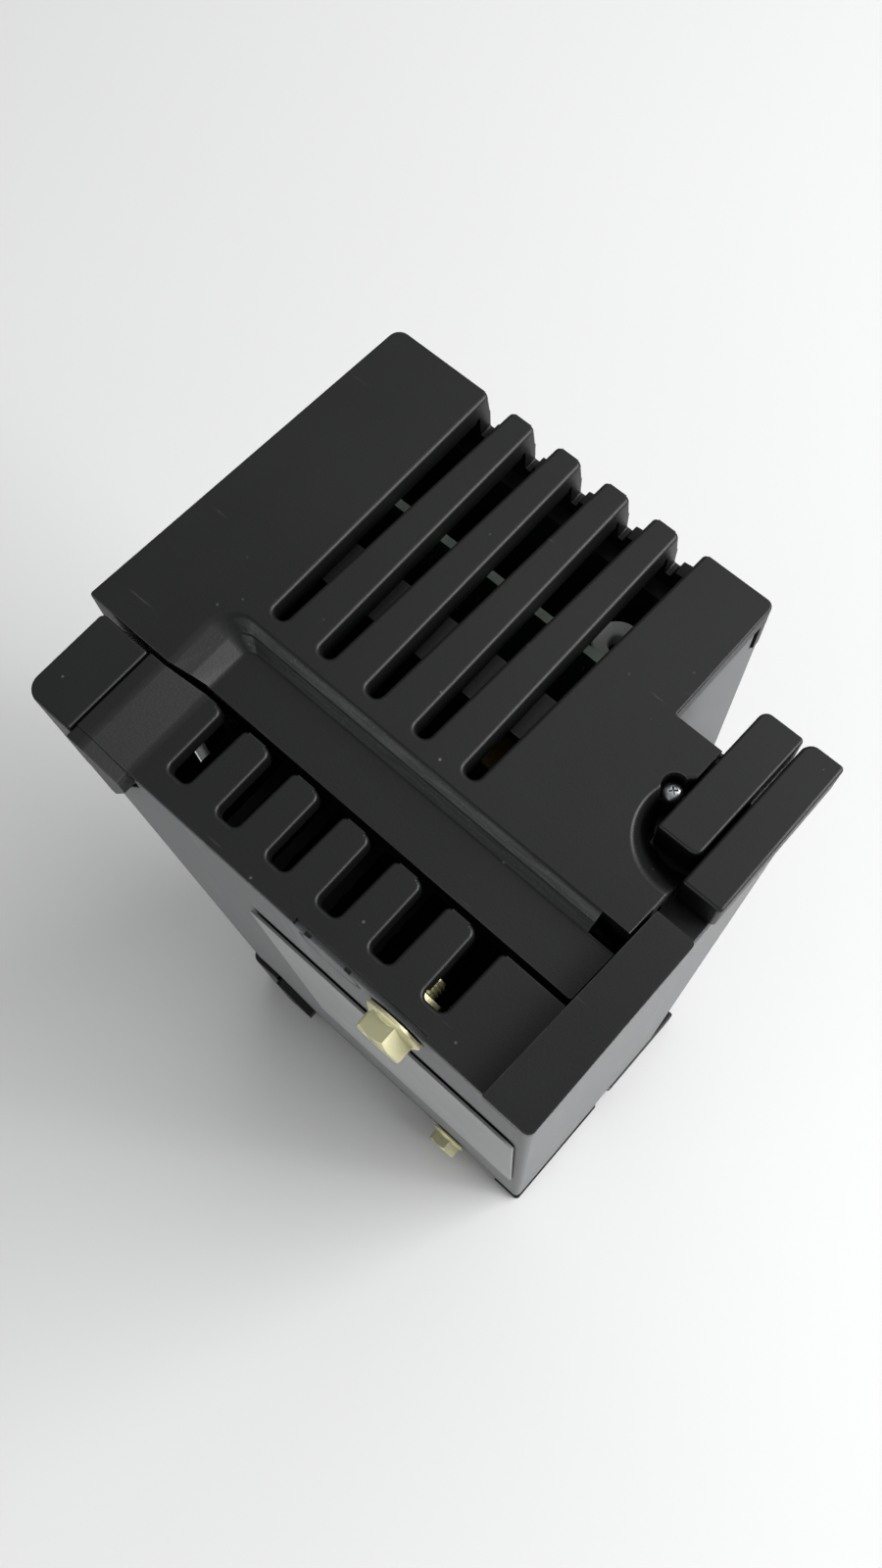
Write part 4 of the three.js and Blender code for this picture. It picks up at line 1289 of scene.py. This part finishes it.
class RELAY_OT_housing(bpy.types.Operator):
    """Build the light grey housing with painted shade on its inner face"""

    bl_idname = "relay.housing"
    bl_label = "Housing"

    def execute(self, context):
        piece = from_frame("housing_shell", "housing_moulding")
        soften(piece, sizes().small_edge * 1.5, 2)
        mark_shaded_inner_faces(piece)
        stand_for(piece, ["housing_shell"], housing_grey())
        return {"FINISHED"}


class RELAY_OT_label(bpy.types.Operator):
    """Build the blank film on the rear wall"""

    bl_idname = "relay.label"
    bl_label = "Blank Label"

    def execute(self, context):
        left, right, rear, front, low, high = span("rating_plate")
        corner = 2.5
        outline = [
            (left, low, corner), (right, low, corner), (right, high, corner), (left, high, corner),
        ]
        piece = across("blank_label", outline, rear, front)
        soften(piece, 0.1 * MM, 2)
        stand_for(piece, ["rating_plate"], label_film())
        return {"FINISHED"}


# ---------------------------------------------------------------- screws

HEX_TURN = 15  # degrees that the hexagon heads stand away from level


def hex_flange_screw(name, node, level):
    """Hexagon washer-head screw: chamfered head, dished flange, slot and a rolled thread."""
    low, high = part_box(node)
    centre_x = (low.x + high.x) / 2
    face = REAR - 0.1 * MM
    outward = (0, 1, 0)
    centre = (centre_x, face, level)
    flange = turned(
        f"{name}_flange", centre, outward,
        [
            (0, 0), (5.2 * MM, 0), (5.2 * MM, 0.5 * MM), (4.95 * MM, 0.75 * MM),
            (4.5 * MM, 1.0 * MM), (4.1 * MM, 1.3 * MM), (0, 1.3 * MM),
        ], 64,
    )
    head = turned(
        f"{name}_head", centre, outward,
        [(0, 0.9 * MM), (4.6 * MM, 0.9 * MM), (4.6 * MM, 4.1 * MM), (0, 4.1 * MM)],
        6, math.radians(HEX_TURN),
    )
    chamfer = turned(
        f"{name}_chamfer", centre, outward,
        [
            (0, 0.5 * MM), (5.2 * MM, 0.5 * MM), (5.2 * MM, 3.3 * MM), (4.0 * MM, 4.1 * MM),
            (0, 4.1 * MM),
        ], 64,
    )
    carve(head, [chamfer], "INTERSECT")
    dish = turned(
        f"{name}_dish", (centre_x, face + 4.1 * MM, level), (0, -1, 0),
        [(0, -0.3 * MM), (2.9 * MM, -0.3 * MM), (2.6 * MM, 0.35 * MM), (0, 0.5 * MM)], 48,
    )
    slot = cuboid(f"{name}_slot", -6, 6, -5, -3.1, -0.65, 0.65)
    slot.data.transform(
        Matrix.Translation((centre_x, 0, level))
        @ Matrix.Rotation(math.radians(-HEX_TURN), 4, "Y")
        @ Matrix.Translation((-LEFT, 0, 0))
    )
    carve(head, [dish, slot])
    thread = [(0, -9 * MM), (1.8 * MM, -9 * MM)]
    for i in range(11):
        at = -8.6 * MM + i * 0.7 * MM
        thread += [(1.85 * MM, at), (2.25 * MM, at + 0.35 * MM)]
    thread += [(2.0 * MM, -0.6 * MM), (2.3 * MM, 0.3 * MM), (0, 0.3 * MM)]
    shank = turned(f"{name}_shank", centre, outward, thread, 24)
    carve(flange, [head, shank], "UNION")
    tidy_faces(flange)
    flange.name = name
    soften(flange, 0.18 * MM, 3, math.radians(28))
    return stand_for(flange, [node], yellow_zinc())


class RELAY_OT_earth_screws(bpy.types.Operator):
    """Build the two hexagon flange screws on the rear wall"""

    bl_idname = "relay.earth_screws"
    bl_label = "Earth Screws"

    def execute(self, context):
        for node in ("upper_earth_screw", "lower_earth_screw"):
            low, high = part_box(node)
            hex_flange_screw(f"{node}_hex", node, (low.z + high.z) / 2)
        for node in ("upper_earth_nut", "lower_earth_nut"):
            refine(node, yellow_zinc())
        for node in ("line_clamp_screw", "load_clamp_screw"):
            refine(node, yellow_zinc(), 0.25 * MM, 3)
        return {"FINISHED"}


def pan_head_tool(centre, outward, radius, depth):
    """A cross recess, as one solid to cut from a screw head."""
    across_axis = Vector(outward).orthogonal().normalized()
    arms = []
    for turn in (0, math.pi / 2):
        axis = Matrix.Rotation(turn, 3, Vector(outward)) @ across_axis
        side = Vector(outward).cross(axis)
        half = radius * 0.62
        thick = radius * 0.13
        corners = [axis * a + side * b for a, b in (
            (-half, -thick), (half, -thick), (half, thick), (-half, thick),
        )]
        deep = [Vector(centre) + c * 0.45 - Vector(outward) * depth for c in corners]
        high = [Vector(centre) + c + Vector(outward) * depth for c in corners]
        arms.append(loft("recess_arm", [deep, high]))
    return arms


def pan_head_screw(name, node, outward):
    """Small pan-head screw with a domed top and a cross recess, inside the node's box."""
    low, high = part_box(node)
    out = Vector(outward)
    centre = (low + high) / 2
    reach = abs((high - low).dot(out))
    radius = sorted(high - low)[1] / 2
    start = centre - out * reach / 2
    head = 1.9 * MM
    shank = radius * 0.48
    under = reach - head
    dome = ((0.97, 1), (1, 0.8), (0.97, 0.5), (0.82, 0.2), (0.5, 0.04), (0, 0))
    profile = [(0, 0), (radius * 0.35, 0), (shank, 0.6 * MM), (shank, under)]
    profile += [(radius * share, reach - head * left) for share, left in dome]
    body = turned(name, start, outward, profile, 40)
    carve(body, pan_head_tool(start + out * reach, outward, radius, 0.9 * MM))
    tidy_faces(body)
    body.data.shade_smooth()
    body.data.set_sharp_from_angle(angle=math.radians(38))
    return stand_for(
        body, [node], metal("plated_screw_steel", tuple(colours().steel), 0.28, (900.0, 900.0, 900.0)),
    )


class RELAY_OT_small_screws(bpy.types.Operator):
    """Build the pocket screws, the board screws and the hinge pin"""

    bl_idname = "relay.small_screws"
    bl_label = "Small Screws"

    def execute(self, context):
        pan_head_screw("upper_pocket_pan_screw", "upper_pocket_screw", (0, 0, 1))
        pan_head_screw("lower_pocket_pan_screw", "lower_pocket_screw", (0, 0, -1))
        for i in range(1, 5):
            pan_head_screw(f"board_pan_screw_{i}", f"board_screw_{i}", (0, -1, 0))
        steel = metal("plated_screw_steel", tuple(colours().steel))
        refine("door_hinge_pin", steel, 0.3 * MM, 3)
        brass = metal("turned_brass", tuple(colours().brass), 0.3, (900.0, 60.0, 900.0))
        for i in range(1, 5):
            refine(f"board_standoff_{i}", brass, 0.3 * MM)
        return {"FINISHED"}


# ---------------------------------------------------------------- heat sink and power parts

class RELAY_OT_heat_sink(bpy.types.Operator):
    """Build the extruded heat sink from a base plate and a repeated ribbed fin"""

    bl_idname = "relay.heat_sink"
    bl_label = "Heat Sink"

    def execute(self, context):
        left, right, rear, front, low, high = span("heat_sink")
        base_rear = front - 7
        plate = cuboid("heat_sink_plate", left, right, base_rear, front, low, high)
        middle = COMB_FIRST - (COMB_PITCH - COMB_SLOT) / 2
        ribs = []
        steps = 8
        for i in range(steps + 1):
            at = base_rear + 0.3 - (base_rear - rear) * i / steps
            half = 1.2 if i % 2 == 0 else 0.98
            ribs.append((half, at))
        outline = [(middle + half, at) for half, at in ribs]
        outline += [(middle - half, at) for half, at in reversed(ribs)]
        fin = upright("heat_sink_fin", outline, low * MM, high * MM)
        # Painted shade: the near-black colour stands for the shade deep in the comb slots.
        aluminium_in_shade = metal(
            "aluminium_in_painted_shade", tuple(colours().aluminium_in_shade), 0.42, (1800.0, 1800.0, 30.0),
        )
        fins = repeat(
            "heat_sink_fins", fin, aluminium_in_shade, COMB_SLOTS + 1, (0, 0, 0), (COMB_PITCH * MM, 0, 0),
        )
        carve(plate, [fins], "UNION")
        tidy_faces(plate)
        plate.name = "heat_sink_extrusion"
        soften(plate, sizes().small_edge, 2)
        stand_for(plate, ["heat_sink"], aluminium_in_shade)
        return {"FINISHED"}


class RELAY_OT_power_parts(bpy.types.Operator):
    """Build the modules, pads, busbars and terminal block"""

    bl_idname = "relay.power_parts"
    bl_label = "Power Parts"

    def execute(self, context):
        resin = module_resin()
        pad = porous("silicone_thermal_pad", (0.66, 0.68, 0.72), 0.8)
        strap = metal("tinned_busbar", tuple(colours().tinned), 0.3, (60.0, 1800.0, 1800.0))
        for place in ("upper", "lower"):
            refine(f"{place}_thyristor_module", resin, 0.5 * MM, 3)
            refine(f"{place}_thermal_pad", pad, 0.15 * MM)
        for place in ("line", "load"):
            refine(f"{place}_busbar", strap, 0.25 * MM, 3)
        refine("terminal_block", resin, 0.3 * MM, 2)
        return {"FINISHED"}


class RELAY_OT_terminal_door(bpy.types.Operator):
    """Build the hinged terminal guard with grip ribs"""

    bl_idname = "relay.terminal_door"
    bl_label = "Terminal Door"

    def execute(self, context):
        piece = refine("terminal_door", black_moulding(), 0.3 * MM, 3)
        piece.name = "terminal_door_moulding"
        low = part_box("terminal_door")[0]
        rib_left = low.x + 7 * MM
        panel_front = low.y + 0.9 * MM
        rib = upright(
            "door_rib",
            [(0, 0), (7, 0), (7, 0.8), (0, 0.8)], 0, 0.9 * MM,
        )
        rib.data.transform(Matrix.Translation((-LEFT, -REAR, 0)))
        soften(rib, 0.2 * MM, 2)
        start = (rib_left, panel_front + 0.55 * MM, low.z + 44 * MM)
        ribs = repeat("door_grip_ribs", rib, black_moulding(), 6, start, (0, 0, 1.8 * MM))
        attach(ribs, "door")
        return {"FINISHED"}


# ---------------------------------------------------------------- board and components

PIN_PITCH = 2.54 * MM

class RELAY_OT_board(bpy.types.Operator):
    """Build the control board with its solder joints and small chips"""

    bl_idname = "relay.board"
    bl_label = "Control Board"

    def execute(self, context):
        refine("control_board", circuit_board(), 0.1 * MM, 2)
        low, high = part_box("control_board")
        back = high.y
        profile = ((0, -0.02), (0.75, -0.02), (0.5, 0.35), (0.22, 0.9), (0, 1.0))
        dome = turned(
            "solder_dome", (0, 0, 0), (0, 1, 0), [(r * MM, reach * MM) for r, reach in profile], 8,
        )
        dome.data.shade_smooth()
        solder = metal("dull_solder", tuple(colours().solder), 0.5, (900.0, 900.0, 900.0))
        start = (low.x + 4 * MM, back + 0.05 * MM, high.z - 5 * MM)
        joints = repeat(
            "board_solder_joints", dome, solder, 23, start, (PIN_PITCH, 0, 0),
            rows=sizes().solder_rows, row_step=(0, 0, -PIN_PITCH), kept=0.3, seed=11,
        )
        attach(joints, "root")
        chip = cuboid("chip_source", 0, 2, 0, 0.7, 0, 1.2)
        chip.data.transform(Matrix.Translation((-LEFT, -REAR, 0)))
        soften(chip, 0.12 * MM, 2)
        start = (low.x + 7 * MM, back + 0.72 * MM, high.z - 8 * MM)
        chips = repeat(
            "board_chips", chip, module_resin(), 9, start, (6.1 * MM, 0, 0),
            rows=20, row_step=(0, 0, -5.3 * MM), kept=0.35, seed=4,
        )
        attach(chips, "root")
        return {"FINISHED"}


class RELAY_OT_components(bpy.types.Operator):
    """Build the ring cores, capacitors, varistors, resistors and couplers"""

    bl_idname = "relay.components"
    bl_label = "Board Components"

    def execute(self, context):
        ferrite = porous("grey_coated_ferrite", tuple(colours().ferrite), 0.55, 1200.0)
        self.ring("choke_ring", (0, 0, 1), ferrite)
        self.ring("pulse_transformer", (0, -1, 0), ferrite)
        blue = glossy_coat("blue_epoxy_coat", tuple(colours().blue))
        for place in ("line", "load"):
            refine(f"{place}_varistor", blue, 1.2 * MM, 5)
            case = glossy_coat("yellow_capacitor_case", tuple(colours().yellow), 0.3)
            refine(f"{place}_snubber_capacitor", case, 0.5 * MM, 3)
            refine(f"{place}_snubber_resistor", porous("white_ceramic", tuple(colours().ceramic)), 0.3 * MM)
        coupler = moulded("white_coupler_body", (0.6, 0.6, 0.57), 0.45, 1800.0, edge_wear_and_highlight=0.2, dust=0.4)
        for place in ("upper", "lower"):
            refine(f"{place}_optocoupler", coupler, 0.25 * MM)
        sleeve = glossy_coat("black_capacitor_sleeve", (0.012, 0.012, 0.02), 0.3)
        refine("supply_capacitor", sleeve, 0.6 * MM, 4)
        refine("trimmer_base", blue, 0.3 * MM)
        return {"FINISHED"}

    def ring(self, node, outward, finish):
        """A coated toroid with full round edges."""
        low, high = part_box(node)
        centre = (low + high) / 2
        out = Vector(outward)
        height = abs((high - low).dot(out))
        outer = sorted(high - low)[2] / 2
        inner = outer * 0.365
        edge = height * 0.14
        steps = 5
        profile = []
        for cx, cy, first in (
            (outer - edge, height / 2 - edge, 0), (inner + edge, height / 2 - edge, 1),
            (inner + edge, -height / 2 + edge, 2), (outer - edge, -height / 2 + edge, 3),
        ):
            for k in range(steps + 1):
                angle = (first + k / steps) * math.pi / 2
                profile.append((cx + edge * math.cos(angle), cy + edge * math.sin(angle)))
        profile.append(profile[0])
        piece = turned(f"{node}_core", centre, outward, profile, 48)
        piece.data.shade_smooth()
        stand_for(piece, [node], finish)


class RELAY_OT_front_controls(bpy.types.Operator):
    """Build the control connector, trimmer dial and light pipes"""

    bl_idname = "relay.front_controls"
    bl_label = "Front Controls"

    def execute(self, context):
        green = moulded("green_connector", tuple(colours().green), 0.4, 2200.0, edge_wear_and_highlight=0.3, dust=0.3)
        refine("control_header", green, 0.2 * MM)
        refine("control_plug", green, 0.2 * MM)
        ivory = moulded("ivory_dial", tuple(colours().ivory), 0.4, 2400.0, edge_wear_and_highlight=0.3, dust=0.3)
        refine("trimmer_dial", ivory, 0.25 * MM, 3)
        for place in ("load", "supply"):
            refine(f"{place}_light_pipe", light_pipe(), 0.25 * MM, 3)
        return {"FINISHED"}


# ---------------------------------------------------------------- stage

CAMERA_PLACE = Vector((-59.40, 52.96, 414.02)) * MM
CAMERA_TURN = Euler((math.radians(18.873), math.radians(2.558), math.radians(-137.986)))


def soft_light(name, azimuth, elevation, distance, width, height, power):
    """A rectangular light that looks at the middle of the object from a compass direction."""
    data = bpy.data.lights.new(name, "AREA")
    data.shape = "RECTANGLE"
    data.size = width
    data.size_y = height
    data.energy = power
    turn, lift = math.radians(azimuth), math.radians(elevation)
    aim = Vector((0, 0, 0.1))
    level = math.cos(lift)
    away = Vector((math.cos(turn) * level, math.sin(turn) * level, math.sin(lift)))
    lamp = bpy.data.objects.new(name, data)
    lamp.location = aim + away * distance
    lamp.rotation_euler = away.to_track_quat("Z", "Y").to_euler()
    bpy.context.scene.collection.objects.link(lamp)
    return lamp


def plain_floor():
    def build(work):
        bmesh.ops.create_grid(work, x_segments=2, y_segments=2, size=3)

    return new_object("floor", mesh_from("floor", build))


class RELAY_OT_stage(bpy.types.Operator):
    """Set up the floor, the soft studio light and the camera"""

    bl_idname = "relay.stage"
    bl_label = "Stage"

    def execute(self, context):
        scene = context.scene
        floor = plain_floor()
        paper = Finish("pale_floor", tuple(colours().floor), 0.6)
        texture = paper.place(grain_group(), grain_scale=400.0, drift_scale=3.0)
        paper.drift(texture, 0.3, 0.8, (0.76, 0.76, 0.76), 0.3)
        floor.data.materials.append(paper.done())
        soft_light("near_window", 228, 38, 1.8, 1.1, 0.9, 19)
        soft_light("side_window", 197, 33, 1.8, 0.9, 0.9, 14)
        soft_light("far_wall", 285, 62, 1.9, 1.2, 1.2, 4)
        soft_light("rear_wall", 80, 12, 1.9, 1.8, 0.7, 5)
        world = bpy.data.worlds.new("pale_room")
        world.use_nodes = True
        world.node_tree.nodes["Background"].inputs["Color"].default_value = (0.98, 0.99, 1, 1)
        world.node_tree.nodes["Background"].inputs["Strength"].default_value = 0.3
        scene.world = world
        scene.view_settings.view_transform = "Standard"
        scene.view_settings.look = "Medium High Contrast"
        lens = bpy.data.cameras.new("camera")
        lens.lens = sizes().camera_lens
        lens.sensor_width = 36
        lens.sensor_fit = "AUTO"
        lens.clip_start = 0.01
        camera = bpy.data.objects.new("camera", lens)
        camera.location = CAMERA_PLACE
        camera.rotation_euler = CAMERA_TURN
        scene.collection.objects.link(camera)
        scene.camera = camera
        return {"FINISHED"}


# ---------------------------------------------------------------- add-on

OPERATORS = (
    RELAY_OT_stage,
    RELAY_OT_covers,
    RELAY_OT_fin_guards,
    RELAY_OT_corner_blocks,
    RELAY_OT_guard_fingers,
    RELAY_OT_chassis,
    RELAY_OT_housing,
    RELAY_OT_label,
    RELAY_OT_earth_screws,
    RELAY_OT_small_screws,
    RELAY_OT_heat_sink,
    RELAY_OT_power_parts,
    RELAY_OT_terminal_door,
    RELAY_OT_board,
    RELAY_OT_components,
    RELAY_OT_front_controls,
)


class RELAY_PT_panel(bpy.types.Panel):
    """Lists the pieces of the relay"""

    bl_idname = "RELAY_PT_panel"
    bl_label = "Relay"
    bl_space_type = "VIEW_3D"
    bl_region_type = "UI"
    bl_category = "Relay"

    def draw(self, context):
        column = self.layout.column(align=True)
        for operator in OPERATORS:
            column.operator(operator.bl_idname)
        for group in (context.scene.relay_sizes, context.scene.relay_colours):
            box = self.layout.box()
            for name in group.__annotations__:
                box.prop(group, name)


CLASSES = (RelaySizes, RelayColours, *OPERATORS, RELAY_PT_panel)


def register():
    for cls in CLASSES:
        bpy.utils.register_class(cls)
    bpy.types.Scene.relay_sizes = PointerProperty(type=RelaySizes)
    bpy.types.Scene.relay_colours = PointerProperty(type=RelayColours)


def unregister():
    del bpy.types.Scene.relay_colours
    del bpy.types.Scene.relay_sizes
    for cls in reversed(CLASSES):
        bpy.utils.unregister_class(cls)


def main():
    register()
    for operator in OPERATORS:
        family, name = operator.bl_idname.split(".")
        getattr(getattr(bpy.ops, family), name)()


if __name__ == "__main__":
    main()
